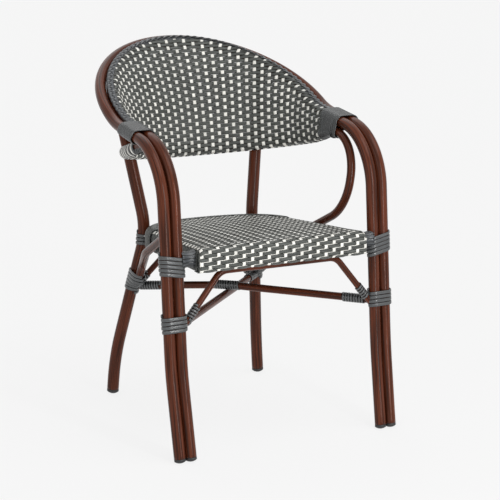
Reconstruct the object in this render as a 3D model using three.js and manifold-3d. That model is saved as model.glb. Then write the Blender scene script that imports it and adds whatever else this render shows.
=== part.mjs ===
// Rattan bistro armchair: bent tubes with a cane finish, a woven seat and back, and bound joints.
// Millimetres, +Z up, X across the chair and +Y towards its back, so the sitter looks along -Y.
// Every reach is measured backwards from the front feet, and the finished chair is centred at the end.

import * as THREE from 'three';
import { mergeVertices } from 'three/addons/utils/BufferGeometryUtils.js';
import Module from 'manifold-3d';

const wasm = await Module();
wasm.setup();

// Fits
const seatGap = 0.3;
const wrapGap = 0.7;
const beltGap = 0.8;
const overrun = 6;
const leastStrandGap = 0.4;

// Tubes
const frameTubeDiameter = 25;
const rearLegDiameter = 28;
const braceDiameter = 19;
const stretcherDiameter = 17;
const archDiameter = 14;
const lowerRailDiameter = 25;
const crossRailDiameter = 17;
const stubDiameter = 32;
const tubeWall = 1.6;

// Front legs and arms: a pair of tubes on each side, bent in one upright plane
const armHalfSpread = 250;
const footInset = 4;
const shinReach = 34;
const shinHeight = 188;
const shinRadius = 780;
const elbowReach = 71.5;
const elbowHeight = 646.6;
const elbowRadius = 138;
const armClimbShare = 0.13;
const armSplitReach = 224;

// Back hoops: a half ellipse in plan that climbs from the arms
const hoopCornerReach = 310;
const hoopCornerRadius = 180;
const hoopDepth = 259.5;
const hoopRise = 129.5;
const hoopLean = 2.6;

// Lower back rail and the braces that run on from it under the arms
const crestInset = 7;
const crestFrontReach = 198;
const crestJointReach = 212;
const crestRearReach = 228;
const crestRadius = 38;
const railHalfSpread = 232;
const railSideReach = 290;
const railDepth = 200;
const railSideDrop = 55;
const railDrop = 44;
const railBlendAngle = THREE.MathUtils.degToRad(20);
const railSideRadius = 150;
const braceNoseReach = 116;
const braceNoseDrop = 31.6;
const braceNoseHalfSpread = 226;
const braceNoseRadius = 92;
const braceChinHeight = 482;
const braceChinRadius = 100;
const braceHipReach = 325;
const braceHipHeight = 379.5;
const braceHipRadius = 150;
const braceHeelReach = 412;
const braceHeelHeight = 330;
const braceHeelHalfSpread = 160;
const braceHeelRadius = 60;
const braceEndRise = 10;

// Rear legs
const rearFootHalfSpread = 195.3;
const rearFootReach = 518.7;
const rearAnkleHalfSpread = 189;
const rearAnkleReach = 516;
const rearAnkleHeight = 90;
const rearAnkleRadius = 500;
const rearCalfHalfSpread = 159.5;
const rearCalfReach = 467.5;
const rearCalfHeight = 280;
const rearCalfRadius = 800;
const rearKneeHeight = 405;
const rearKneeRadius = 190;
const railTouchAngle = THREE.MathUtils.degToRad(51.3);
const legTopAngle = THREE.MathUtils.degToRad(39.4);

// Foot glides
const glideDomeRadius = 20;
const glideFlatDepth = 0.6;
const glideCollarHeight = 5;
const glidePlugLength = 18;
const glidePlugLead = 2;
const glideBoreSpare = 3;

// Seat
const seatFrontHeight = 450;
const seatFrontReach = 17.3;
const seatFrontHalfWidth = 203;
const seatSideHalfWidth = 179;
const seatSideReach = 320;
const seatRearReach = 468;
const seatTiltShare = 0.071;
const seatFrontThickness = 50;
const seatRearThickness = 45;
const seatCornerRadius = 14;
const seatTopRounding = 12;
const seatBottomRounding = 8;
const seatCrown = 6;
const crownShares = [[0, 1], [0.35, 0.9], [0.75, 0.45]];
const seatLip = 22;
const seatFrameWidth = 18;
const weaveThickness = 2.5;
const supportWidth = 30;
const supportThickness = 4;
const supportFrontReach = 150;
const supportRearReach = 290;

// Back panel
const panelStartReach = 260;
const panelMiddleShares = [0.35, 0.7];
const panelBulge = 14;
const panelBulgeHeight = 250;
const braidThickness = 3.4;

// Arches and stretchers under the seat
const archFrontReach = 47;
const archFrontEndReach = 44;
const archFrontHalfSpread = 140;
const archFrontRadius = 34;
const archFrontEndDrop = 18;
const archRearHalfSpread = 77;
const archRearRadius = 40;
const archRearEndDrop = 34;
const archRearSetback = 7;
const stretcherRearSetback = 8;
const straightFrontDrop = 10;
const straightRearDrop = 12.5;
const raisedFrontDrop = 5;
const raisedRearDrop = 7.5;
const stretcherFrontSetback = 13;
const raisedStretcherRadius = 90;

// Bindings: flat strands wound round the front legs, ribbed sleeves on the other joints
const strandWidth = 7.9;
const strandThickness = 3;
const strandSpacing = 8.6;
const lowerWrapHeight = 288;
const upperWrapHeight = 413;
const upperWrapSlantShare = 0.2;
const rearWrapHeight = 280;
const rearWrapLength = 46;
const rearSeatWrapLength = 26;
const sleeveThickness = 2.2;
const sleeveRib = 0.7;
const sleeveLength = 50;
const archSleeveLength = 34;
const crossingSleeveLength = 60;
const crossingSleeveThickness = 1.6;
const armWrapFrontReach = 190;
const armWrapRearReach = 253;
const armWrapThickness = 2.2;
const armWrapRib = 1.1;

// Counts that set how fine the faces are
const tubeSides = 12;
const slimTubeSides = 8;
const bendStep = THREE.MathUtils.degToRad(13);
const hoopSteps = 40;
const seatCurveSteps = 7;
const seatCornerSteps = 3;
const panelSteps = 12;
const beltSides = 16;
const loopSteps = 24;
const lowerLoops = 5;
const upperLoops = 5;
const armWrapRibs = 5;
const latheSides = 10;
const crossingRibs = 4;
const sleeveRibs = 3;
const rearLowerRibs = 4;
const hoopWrapStep = 21;
const hoopWrapAngles = [2 * hoopWrapStep, hoopWrapStep, 0];
const rollStep = Math.PI / 4;
const railWrapAngles = [0, -45, -90, -135, -180, -225];
const braidAngles = [72, 98, 124];

// Materials
function finish(color, roughness, metalness) {
  return new THREE.MeshStandardMaterial({ color, roughness, metalness });
}

const brownTube = finish('#5a3125', 0.3, 0.25);
const brownSlimTube = finish('#54301f', 0.32, 0.25);
const greyStrand = finish('#4c5153', 0.5, 0);
const greySleeve = finish('#43484a', 0.55, 0);
const weaveGrey = finish('#5a5c58', 0.6, 0);
const braidGrey = finish('#3b3d3e', 0.6, 0);
const glideBlack = finish('#262626', 0.6, 0);
const bareAluminium = finish('#8f8f8c', 0.4, 0.8);

// Derived sizes
const frameTubeRadius = frameTubeDiameter / 2;
const rearLegRadius = rearLegDiameter / 2;
const braceRadius = braceDiameter / 2;
const stretcherRadius = stretcherDiameter / 2;
const archRadius = archDiameter / 2;
const lowerRailRadius = lowerRailDiameter / 2;
const crossRailRadius = crossRailDiameter / 2;
const pairPitch = frameTubeDiameter + seatGap;
const innerHalfSpread = armHalfSpread - pairPitch / 2;
const wrapReach = wrapGap + strandThickness + seatGap;
const sides = [['left', -1], ['right', 1]];
const up = new THREE.Vector3(0, 0, 1);
const point = (x, y, z) => new THREE.Vector3(x, y, z);

// Shared shape functions

// One closed geometry from triangles given as point triples, its faces turned outwards.
function closedGeometry(triangles) {
  const soup = new THREE.BufferGeometry().setFromPoints(triangles.flat());
  const merged = mergeVertices(soup);
  const index = merged.getIndex().array;
  const kept = [];
  for (let i = 0; i < index.length; i += 3) {
    const [a, b, c] = [index[i], index[i + 1], index[i + 2]];
    if (a !== b && b !== c && c !== a) {
      kept.push(a, b, c);
    }
  }
  merged.setIndex(kept);
  return facingOut(merged);
}

function signedVolume(geometry) {
  const place = geometry.getAttribute('position');
  const index = geometry.getIndex().array;
  const [a, b, c] = [point(), point(), point()];
  let sum = 0;
  for (let i = 0; i < index.length; i += 3) {
    a.fromBufferAttribute(place, index[i]);
    b.fromBufferAttribute(place, index[i + 1]);
    c.fromBufferAttribute(place, index[i + 2]);
    sum += a.dot(b.cross(c)) / 6;
  }
  return sum;
}

function facingOut(geometry) {
  if (signedVolume(geometry) < 0) {
    geometry.setIndex(Array.from(geometry.getIndex().array).reverse());
  }
  geometry.computeVertexNormals();
  return geometry;
}

// Two triangles for each cell of a grid of points; a closed grid also joins its last row to its first.
function gridTriangles(rows, closedAlong, closedAcross) {
  const triangles = [];
  const rowCount = closedAlong ? rows.length : rows.length - 1;
  const columnCount = closedAcross ? rows[0].length : rows[0].length - 1;
  for (let i = 0; i < rowCount; i += 1) {
    const row = rows[i];
    const next = rows[(i + 1) % rows.length];
    for (let j = 0; j < columnCount; j += 1) {
      const k = (j + 1) % row.length;
      triangles.push([row[j], next[j], next[k]], [row[j], next[k], row[k]]);
    }
  }
  return triangles;
}

// A body between two grids of the same shape, such as the two faces of a thick sheet.
function thickSheet(outer, inner, closedAlong) {
  const sections = outer.map((row, i) => [...row, ...inner[i].slice().reverse()]);
  const triangles = gridTriangles(sections, closedAlong, true);
  if (!closedAlong) {
    const ends = [[inner[0], outer[0]], [outer[outer.length - 1], inner[inner.length - 1]]];
    ends.forEach((pair) => triangles.push(...gridTriangles(pair, false, false)));
  }
  return closedGeometry(triangles);
}

// A body lofted through closed rings, with a fan over each end.
function loft(rings) {
  const triangles = gridTriangles(rings, false, true);
  const first = middleOf(rings[0]);
  const last = middleOf(rings[rings.length - 1]);
  const lastRing = rings[rings.length - 1];
  rings[0].forEach((corner, i) => {
    const k = (i + 1) % rings[0].length;
    triangles.push([first, corner, rings[0][k]]);
    triangles.push([last, lastRing[k], lastRing[i]]);
  });
  return closedGeometry(triangles);
}

function middleOf(points) {
  return points.reduce((sum, p) => sum.add(p), point()).divideScalar(points.length);
}

// A route of straight runs joined by arcs, as a tube bender makes it.
function bentRoute(corners) {
  const route = [corners[0].place];
  for (let i = 1; i < corners.length - 1; i += 1) {
    const { place, radius } = corners[i];
    const back = corners[i - 1].place.clone().sub(place).normalize();
    const ahead = corners[i + 1].place.clone().sub(place).normalize();
    const turn = Math.PI - back.angleTo(ahead);
    const inward = back.clone().add(ahead).normalize();
    const centre = place.clone().addScaledVector(inward, radius / Math.cos(turn / 2));
    const start = place.clone().addScaledVector(back, radius * Math.tan(turn / 2)).sub(centre);
    const hinge = back.clone().cross(start).normalize();
    const steps = Math.max(2, Math.ceil(turn / bendStep));
    for (let k = 0; k <= steps; k += 1) {
      route.push(centre.clone().add(start.clone().applyAxisAngle(hinge, (turn * k) / steps)));
    }
  }
  route.push(corners[corners.length - 1].place);
  return route;
}

// A curve that visits each point of a route in turn, with mitred corners.
class RouteCurve extends THREE.Curve {
  constructor(route) {
    super();
    this.route = route;
  }

  getPointAt(share, target = point()) {
    return target.copy(this.route[Math.round(share * (this.route.length - 1))]);
  }

  getTangentAt(share, target = point()) {
    const i = Math.round(share * (this.route.length - 1));
    const before = this.route[Math.max(i - 1, 0)];
    const after = this.route[Math.min(i + 1, this.route.length - 1)];
    const here = this.route[i];
    const arriving = here.clone().sub(before).normalize();
    const leaving = after.clone().sub(here).normalize();
    return target.copy(arriving).add(leaving).normalize();
  }
}

function circlePoints(radius, count) {
  const angles = Array.from({ length: count }, (_, i) => (2 * Math.PI * i) / count);
  return angles.map((angle) => new THREE.Vector2(radius * Math.cos(angle), radius * Math.sin(angle)));
}

function tube(route, radius, sideCount) {
  const section = new THREE.Shape(circlePoints(radius, sideCount));
  const steps = route.length - 1;
  const extrusion = new THREE.ExtrudeGeometry(section, { extrudePath: new RouteCurve(route), steps });
  return merge(extrusion);
}

// Leaves only the positions and joins the shared corners, which makes the mesh watertight.
function merge(geometry) {
  geometry.deleteAttribute('normal');
  geometry.deleteAttribute('uv');
  return facingOut(mergeVertices(geometry));
}

function solidOf(geometry) {
  const vertProperties = new Float32Array(geometry.getAttribute('position').array);
  const triVerts = new Uint32Array(geometry.getIndex().array);
  return new wasm.Manifold(new wasm.Mesh({ numProp: 3, vertProperties, triVerts }));
}

function cut(geometry, cutters) {
  const solid = cutters.reduce((rest, cutter) => rest.subtract(solidOf(cutter)), solidOf(geometry));
  const mesh = solid.getMesh();
  const result = new THREE.BufferGeometry();
  result.setAttribute('position', new THREE.BufferAttribute(mesh.vertProperties, 3));
  result.setIndex(Array.from(mesh.triVerts));
  return facingOut(mergeVertices(result));
}

// The point of a route at a given reach, for routes whose reach keeps growing or keeps falling.
function atReach(route, reach) {
  const i = route.findIndex((p, k) => k > 0 && (p.y - reach) * (route[k - 1].y - reach) <= 0);
  const share = (reach - route[i - 1].y) / (route[i].y - route[i - 1].y);
  return route[i - 1].clone().lerp(route[i], share);
}

// A given number of evenly spaced points along a route.
function spaced(route, count) {
  const path = new THREE.CurvePath();
  for (let i = 1; i < route.length; i += 1) {
    path.add(new THREE.LineCurve3(route[i - 1], route[i]));
  }
  return path.getSpacedPoints(count);
}

function mirrored(route) {
  const other = route.map((p) => point(-p.x, p.y, p.z)).reverse();
  return [...route, ...other.slice(1)];
}

function along(from, to) {
  return to.clone().sub(from).normalize();
}

// Where things are

function armHeightAt(reach) {
  return elbowHeight + armClimbShare * (reach - elbowReach);
}

// The middle of a front pair at a height between the shin bend and the elbow.
function pairAt(side, height) {
  const share = (height - shinHeight) / (elbowHeight - shinHeight);
  return point(side * armHalfSpread, THREE.MathUtils.lerp(shinReach, elbowReach, share), height);
}

const pairAxis = along(pairAt(1, shinHeight), pairAt(1, elbowHeight));

function seatHalfWidthAt(reach) {
  const share = (reach - seatFrontReach) / (seatSideReach - seatFrontReach);
  return THREE.MathUtils.lerp(seatFrontHalfWidth, seatSideHalfWidth, share);
}

function seatTopAt(reach) {
  return seatFrontHeight - seatTiltShare * (reach - seatFrontReach);
}

const seatRearDepth = seatRearReach - seatSideReach;

function seatBottomAt(reach) {
  const share = (reach - seatFrontReach) / (seatRearReach - seatFrontReach);
  return seatTopAt(reach) - THREE.MathUtils.lerp(seatFrontThickness, seatRearThickness, share);
}

// Half of a hoop from the side to the top; the offset moves it out or in from the middle of the pair.
const hoopTurn = Math.atan(hoopRise / hoopDepth) - Math.atan(armClimbShare);
const hoopSetback = hoopCornerRadius * Math.tan(hoopTurn / 2);
const hoopClimb = along(point(), point(0, hoopDepth, hoopRise));
const hoopCorner = point(0, hoopCornerReach, armHeightAt(hoopCornerReach));
const hoopStart = hoopCorner.clone().addScaledVector(hoopClimb, hoopSetback);

function hoopPlace(offset, angle) {
  const lean = (hoopLean * offset) / pairPitch;
  return point(
    (armHalfSpread + offset) * Math.cos(angle),
    hoopStart.y + (hoopDepth + offset) * Math.sin(angle),
    hoopStart.z + (hoopRise + lean) * Math.sin(angle),
  );
}

function quarterAngles() {
  return Array.from({ length: hoopSteps + 1 }, (_, i) => (Math.PI / 2) * (i / hoopSteps));
}

// The same route with evenly spaced points behind the arm binding, where the woven panel follows it.
function evenBehindWrap(route) {
  const start = atReach(route, panelStartReach);
  const front = route.filter((p) => p.y < start.y - seatGap);
  const rear = route.filter((p) => p.y > start.y);
  return [...front, ...spaced([start, ...rear], panelSteps)];
}

function halfHoopRoute(offset, startReach) {
  const x = armHalfSpread + offset;
  const ahead = hoopStart.clone().addScaledVector(hoopClimb, hoopSetback);
  const side = bentRoute([
    { place: point(x, startReach, armHeightAt(startReach)) },
    { place: point(x, hoopCorner.y, hoopCorner.z), radius: hoopCornerRadius },
    { place: point(x, ahead.y, ahead.z) },
  ]).slice(0, -2);
  return evenBehindWrap([...side, ...quarterAngles().map((angle) => hoopPlace(offset, angle))]);
}

// The middle of a tube that touches the inner arm tube from below.
function crestAt(reach, radius) {
  const drop = Math.sqrt((frameTubeRadius + radius + seatGap) ** 2 - crestInset ** 2);
  const slope = Math.hypot(1, armClimbShare);
  return point(innerHalfSpread - crestInset, reach, armHeightAt(reach) - drop * slope);
}

function railPlace(angle) {
  return point(
    railHalfSpread * Math.cos(angle),
    railSideReach + railDepth * Math.sin(angle),
    armHeightAt(railSideReach) - railSideDrop - railDrop * Math.sin(angle),
  );
}

function halfRailRoute() {
  const jointStep = seatGap + (lowerRailRadius - braceRadius) * armClimbShare;
  const corners = [
    { place: crestAt(crestJointReach + jointStep, lowerRailRadius) },
    { place: crestAt(crestRearReach, lowerRailRadius), radius: crestRadius },
    { place: railPlace(0), radius: railSideRadius },
    { place: railPlace(railBlendAngle) },
  ];
  const angles = quarterAngles().filter((angle) => angle > railBlendAngle);
  return evenBehindWrap([...bentRoute(corners), ...angles.map(railPlace)]);
}

// Rear leg: its upper run touches the rolled lower rail and ends under the pair of hoops.
const railRollRadius = lowerRailRadius + seatGap + weaveThickness;
const rollShare = 1 / Math.cos(rollStep / 2);

function rearLegCorners(side) {
  const touch = railPlace(railTouchAngle);
  const acrossRail = railPlace(railTouchAngle + bendStep).sub(railPlace(railTouchAngle - bendStep));
  const top = hoopPlace(0, legTopAngle);
  const outward = acrossRail.clone().cross(along(touch, top)).normalize();
  outward.multiplyScalar(Math.sign(outward.y));
  const legTouch = touch.addScaledVector(outward, railRollRadius * rollShare + rearLegRadius + seatGap);
  const climb = along(legTouch, top);
  const knee = legTouch.clone().addScaledVector(climb, (rearKneeHeight - legTouch.z) / climb.z);
  const corners = [
    { place: point(rearFootHalfSpread, rearFootReach, 0) },
    { place: point(rearAnkleHalfSpread, rearAnkleReach, rearAnkleHeight), radius: rearAnkleRadius },
    { place: point(rearCalfHalfSpread, rearCalfReach, rearCalfHeight), radius: rearCalfRadius },
    { place: knee, radius: rearKneeRadius },
    { place: top.addScaledVector(climb, -frameTubeRadius / 2) },
  ];
  corners.forEach((corner) => corner.place.setX(side * corner.place.x));
  return corners;
}

const rearLegRoutes = new Map(sides.map(([, side]) => [side, bentRoute(rearLegCorners(side))]));

// The middle of a rear leg at a height, and the direction it runs there.
function rearLegAt(side, height) {
  const route = rearLegRoutes.get(side);
  const i = route.findIndex((p) => p.z >= height);
  const share = (height - route[i - 1].z) / (route[i].z - route[i - 1].z);
  const place = route[i - 1].clone().lerp(route[i], share);
  return { place, axis: along(route[i - 1], route[i]) };
}

// An upright frame of axes at a place: the second axis runs across the chair.
function placed(geometry, place, axis) {
  const across = point(1, 0, 0).addScaledVector(axis, -axis.x).normalize();
  const behind = axis.clone().cross(across);
  geometry.applyMatrix4(new THREE.Matrix4().makeBasis(across, behind, axis).setPosition(place));
  return geometry;
}

// A solid bar with round ends in section, as long as asked and centred on a place.
function barAbout(place, axis, halfSpread, radius, length) {
  const section = new THREE.Shape();
  section.absarc(halfSpread, 0, radius, -Math.PI / 2, Math.PI / 2, false);
  section.absarc(-halfSpread, 0, radius, Math.PI / 2, (3 * Math.PI) / 2, false);
  const options = { depth: length, bevelEnabled: false, curveSegments: latheSides };
  const bar = new THREE.ExtrudeGeometry(section, options);
  bar.translate(0, 0, -length / 2);
  return placed(merge(bar), place, axis);
}

// What the bindings of a front pair and of a rear leg take up, with room for what lands on them.
function pairEnvelope(side, height, length) {
  return barAbout(pairAt(side, height), pairAxis, pairPitch / 2, frameTubeRadius + wrapReach, length);
}

function rearLegEnvelope(side, height, length) {
  const { place, axis } = rearLegAt(side, height);
  return barAbout(place, axis, 0, rearLegRadius + wrapReach, length);
}

// A ribbed sleeve round a tube, along the Z axis and centred on the origin.
function sleeve(boreRadius, thickness, length, ribs) {
  const outer = boreRadius + thickness - sleeveRib;
  const bore = boreRadius / Math.cos(Math.PI / latheSides);
  const outline = [new THREE.Vector2(bore, -length / 2), new THREE.Vector2(outer, -length / 2)];
  const pitch = length / ribs;
  for (let i = 0; i < ribs; i += 1) {
    outline.push(new THREE.Vector2(outer + sleeveRib, (i + 1 / 2) * pitch - length / 2));
    outline.push(new THREE.Vector2(outer, (i + 1) * pitch - length / 2));
  }
  outline.push(new THREE.Vector2(bore, length / 2), outline[0].clone());
  const turned = merge(new THREE.LatheGeometry(outline, latheSides));
  return turned.rotateX(Math.PI / 2);
}

const chair = new THREE.Group();

function add(name, geometry, material) {
  const mesh = new THREE.Mesh(geometry, material);
  mesh.name = name;
  chair.add(mesh);
}

// Feet: where each leg tube starts, and the glide that plugs it

function footOf(groundPlace, axis) {
  const dome = groundPlace.clone().addScaledVector(axis, (glideDomeRadius - glideFlatDepth) / axis.z);
  return { dome, axis };
}

function glideRim(radius) {
  return Math.sqrt(glideDomeRadius ** 2 - radius ** 2);
}

function tubeStart(foot, radius) {
  return foot.dome.clone().addScaledVector(foot.axis, glideCollarHeight + seatGap - glideRim(radius));
}

function glide(foot, radius) {
  const rim = glideRim(radius);
  const collarTop = glideCollarHeight - rim;
  const plugRadius = radius - tubeWall - seatGap;
  const rimAngle = Math.asin(radius / glideDomeRadius);
  const outline = [1, 2, 3].map((step) => {
    const angle = (rimAngle * step) / 3;
    return new THREE.Vector2(glideDomeRadius * Math.sin(angle), -glideDomeRadius * Math.cos(angle));
  });
  outline.unshift(new THREE.Vector2(0, -glideDomeRadius));
  outline.push(new THREE.Vector2(radius, collarTop));
  outline.push(new THREE.Vector2(plugRadius, collarTop));
  outline.push(new THREE.Vector2(plugRadius, collarTop + glidePlugLength - glidePlugLead));
  outline.push(new THREE.Vector2(plugRadius - glidePlugLead, collarTop + glidePlugLength));
  outline.push(new THREE.Vector2(0, collarTop + glidePlugLength));
  const turned = merge(new THREE.LatheGeometry(outline, latheSides)).rotateX(Math.PI / 2);
  const body = placed(turned, foot.dome, foot.axis);
  const ground = new THREE.BoxGeometry(4 * radius, 4 * radius, 2 * radius);
  return cut(body, [merge(ground.translate(foot.dome.x, foot.dome.y, -radius))]);
}

// A leg tube with the bore that takes its glide.
function boredTube(route, radius) {
  const axis = along(route[0], route[1]);
  const depth = glidePlugLength + glideBoreSpare;
  const boreRadius = radius - tubeWall;
  const bore = new THREE.CylinderGeometry(boreRadius, boreRadius, depth + overrun, latheSides);
  bore.rotateX(Math.PI / 2).translate(0, 0, (depth - overrun) / 2);
  return cut(tube(route, radius, tubeSides), [placed(merge(bore), route[0], axis)]);
}

// Front legs that bend into the arms, and the hoops that run on from them

for (const [sideName, side] of sides) {
  for (const [place, offset] of [['outer', pairPitch / 2], ['inner', -pairPitch / 2]]) {
    const x = side * (armHalfSpread + offset);
    const ground = point(side * (armHalfSpread - footInset + offset), 0, 0);
    const shin = point(x, shinReach, shinHeight);
    const foot = footOf(ground, along(ground, shin));
    const route = bentRoute([
      { place: tubeStart(foot, frameTubeRadius) },
      { place: shin, radius: shinRadius },
      { place: point(x, elbowReach, elbowHeight), radius: elbowRadius },
      { place: point(x, armSplitReach, armHeightAt(armSplitReach)) },
    ]);
    add(`${place}_leg_arm_tube_${sideName}`, boredTube(route, frameTubeRadius), brownTube);
    add(`${place}_front_glide_${sideName}`, glide(foot, frameTubeRadius), glideBlack);
  }
}

const outerHoopRoute = mirrored(halfHoopRoute(pairPitch / 2, armSplitReach + seatGap));
const innerHoopHalf = halfHoopRoute(-pairPitch / 2, armSplitReach + seatGap);
const innerHoopRoute = mirrored(innerHoopHalf);
add('outer_back_hoop', tube(outerHoopRoute, frameTubeRadius, tubeSides), brownTube);
add('inner_back_hoop', tube(innerHoopRoute, frameTubeRadius, tubeSides), brownTube);

const railHalf = halfRailRoute();
add('lower_back_rail', tube(mirrored(railHalf), lowerRailRadius, tubeSides), brownSlimTube);

// Rear legs

const hoopCutters = [outerHoopRoute, innerHoopRoute].map((route) => {
  return tube(route, frameTubeRadius + seatGap, tubeSides);
});

for (const [sideName, side] of sides) {
  const corners = rearLegCorners(side);
  const ground = corners[0].place;
  const foot = footOf(ground, along(ground, corners[1].place));
  corners[0] = { place: tubeStart(foot, rearLegRadius) };
  const leg = boredTube(bentRoute(corners), rearLegRadius);
  add(`rear_leg_${sideName}`, cut(leg, hoopCutters), brownTube);
  add(`rear_glide_${sideName}`, glide(foot, rearLegRadius), glideBlack);
}

// Braces: from the arm, forward and down past the seat, then back to the rear leg

function braceRoute(side) {
  const hug = (reach) => seatHalfWidthAt(reach) + braceRadius + seatGap;
  const { place: leg } = rearLegAt(side, rearWrapHeight + braceEndRise);
  const end = leg.clone();
  const heel = point(side * braceHeelHalfSpread, braceHeelReach, braceHeelHeight);
  const landing = heel.clone().sub(leg).setZ(0).normalize();
  end.addScaledVector(landing, rearLegRadius + wrapReach + braceRadius);
  const crest = (reach) => crestAt(reach, braceRadius).setX(side * (innerHalfSpread - crestInset));
  const nose = point(side * braceNoseHalfSpread, braceNoseReach, elbowHeight - braceNoseDrop);
  const chin = point(side * hug(braceNoseReach), braceNoseReach, braceChinHeight);
  const hip = point(side * hug(braceHipReach), braceHipReach, braceHipHeight);
  return bentRoute([
    { place: crest(crestJointReach) },
    { place: crest(crestFrontReach), radius: crestRadius },
    { place: nose, radius: braceNoseRadius },
    { place: chin, radius: braceChinRadius },
    { place: hip, radius: braceHipRadius },
    { place: heel, radius: braceHeelRadius },
    { place: end },
  ]);
}

for (const [sideName, side] of sides) {
  add(`arm_brace_${sideName}`, tube(braceRoute(side), braceRadius, slimTubeSides), brownSlimTube);
}

// Seat

// The seat's outline drawn in by a distance; half of it runs from the middle of the front to the rear.
function seatOutline(inset) {
  const half = [point(0, seatFrontReach, 0), point(seatFrontHalfWidth / 2, seatFrontReach, 0)];
  const cornerY = seatFrontReach + seatCornerRadius;
  const cornerX = seatHalfWidthAt(cornerY) - seatCornerRadius;
  for (let i = 0; i <= seatCornerSteps; i += 1) {
    const angle = (Math.PI / 2) * (i / seatCornerSteps);
    const [sine, cosine] = [Math.sin(angle), Math.cos(angle)];
    half.push(point(cornerX + seatCornerRadius * sine, cornerY - seatCornerRadius * cosine, 0));
  }
  half.push(point(seatHalfWidthAt((cornerY + seatSideReach) / 2), (cornerY + seatSideReach) / 2, 0));
  for (let i = 0; i <= seatCurveSteps; i += 1) {
    const angle = (Math.PI / 2) * (i / seatCurveSteps);
    const [sine, cosine] = [Math.sin(angle), Math.cos(angle)];
    half.push(point(seatSideHalfWidth * cosine, seatSideReach + seatRearDepth * sine, 0));
  }
  const whole = mirrored(half).slice(0, -1);
  return whole.map((p, i) => {
    const before = whole[(i + whole.length - 1) % whole.length];
    const after = whole[(i + 1) % whole.length];
    const edge = along(before, after);
    return point(p.x - inset * edge.y, p.y + inset * edge.x, 0);
  });
}

// The seat's outline drawn in by an inset, at a height below its top or above its underside.
function seatRing(inset, drop, fromBottom) {
  return seatOutline(inset).map((p) => {
    const z = fromBottom ? seatBottomAt(p.y) + drop : seatTopAt(p.y) - drop;
    return point(p.x, p.y, z);
  });
}

const seatMiddle = point(0, (seatFrontReach + seatRearReach) / 2, 0);

// A ring of the crowned top, at a share of its width and of its height, and a drop below its face.
function crownedRing(widthShare, crownShare, drop) {
  return seatOutline(seatTopRounding).map((p) => {
    const q = p.clone().lerp(seatMiddle, 1 - widthShare);
    return point(q.x, q.y, seatTopAt(q.y) + seatCrown * crownShare - drop);
  });
}

// Rings from the middle of the top, over the edge and under to the lip, at a depth inside the weave.
function seatRings(depth) {
  const top = seatTopRounding;
  const bottom = seatBottomRounding;
  const half = Math.SQRT1_2;
  return [
    ...crownShares.map(([widthShare, heightShare]) => crownedRing(widthShare, heightShare, depth)),
    seatRing(top, depth, false),
    seatRing(top - (top - depth) * half, top - (top - depth) * half, false),
    seatRing(depth, top, false),
    seatRing(depth, bottom, true),
    seatRing(bottom - (bottom - depth) * half, bottom - (bottom - depth) * half, true),
    seatRing(bottom, depth, true),
    seatRing(seatLip, depth, true),
  ];
}

const turnedRings = (rings) => rings[0].map((_, i) => rings.map((ring) => ring[i]));
const seatSkin = thickSheet(turnedRings(seatRings(0)), turnedRings(seatRings(weaveThickness)), true);
add('seat_weave', seatSkin, weaveGrey);

const frameInset = weaveThickness + seatGap;
const frameRings = [
  seatRing(frameInset, seatTopRounding, false),
  seatRing(seatTopRounding, frameInset, false),
  seatRing(frameInset + seatFrameWidth, frameInset, false),
  seatRing(frameInset + seatFrameWidth, frameInset, true),
  seatRing(seatTopRounding, frameInset, true),
  seatRing(frameInset, seatTopRounding, true),
];
add('seat_frame', closedGeometry(gridTriangles(frameRings, true, true)), bareAluminium);

for (const [name, reach] of [['front', supportFrontReach], ['rear', supportRearReach]]) {
  const halfLength = seatHalfWidthAt(reach + supportWidth / 2) - frameInset - seatFrameWidth - seatGap;
  const bar = merge(new THREE.BoxGeometry(2 * halfLength, supportWidth, supportThickness));
  bar.rotateX(-Math.atan(seatTiltShare));
  bar.translate(0, reach, seatTopAt(reach) - seatTopRounding);
  add(`seat_support_${name}`, bar, bareAluminium);
}

for (const [sideName, side] of sides) {
  const leg = pairAt(side, upperWrapHeight);
  const near = side * (seatHalfWidthAt(leg.y - stubDiameter / 2) + seatGap);
  const far = side * (innerHalfSpread - frameTubeRadius - wrapReach);
  const height = (seatTopAt(leg.y) + seatBottomAt(leg.y)) / 2;
  const route = [point(near, leg.y, height), point(far, leg.y, height)];
  add(`seat_stub_${sideName}`, tube(route, stubDiameter / 2, tubeSides), greySleeve);
}

// Cross rail between the rear legs, which carries the back of the seat

function crossRailAt() {
  let height = seatBottomAt(seatRearReach) - seatGap - crossRailRadius;
  const reach = rearLegAt(1, height).place.y;
  height = seatBottomAt(reach) - seatGap - crossRailRadius;
  return rearLegAt(1, height).place;
}

const crossRail = crossRailAt();
const crossRailRoute = [point(-crossRail.x, crossRail.y, crossRail.z), crossRail];
const legCutters = sides.map(([, side]) => {
  const { place, axis } = rearLegAt(side, crossRail.z);
  return barAbout(place, axis, 0, rearLegRadius + seatGap, 2 * rearLegDiameter);
});
const crossRailBlank = tube(crossRailRoute, crossRailRadius, slimTubeSides);
add('rear_cross_rail', cut(crossRailBlank, legCutters), brownSlimTube);

// Woven back panel: wound over the inner hoop at the top and round the lower rail

// The axes round one tube of the panel: inwards to the sitter and up the panel, both square to the tube.
function tubeStation(route, i, rise) {
  const run = along(route[Math.max(i - 1, 0)], route[Math.min(i + 1, route.length - 1)]);
  const squareRise = rise.clone().addScaledVector(run, -rise.dot(run)).normalize();
  return { middle: route[i], rise: squareRise, inward: squareRise.clone().cross(run) };
}

function panelStations() {
  const [hoop, rail] = [innerHoopHalf, railHalf].map((half) => mirrored(half.slice(-panelSteps - 1)));
  return hoop.map((top, i) => {
    const rise = along(rail[i], top);
    return { hoop: tubeStation(hoop, i, rise), rail: tubeStation(rail, i, rise) };
  });
}

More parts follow.
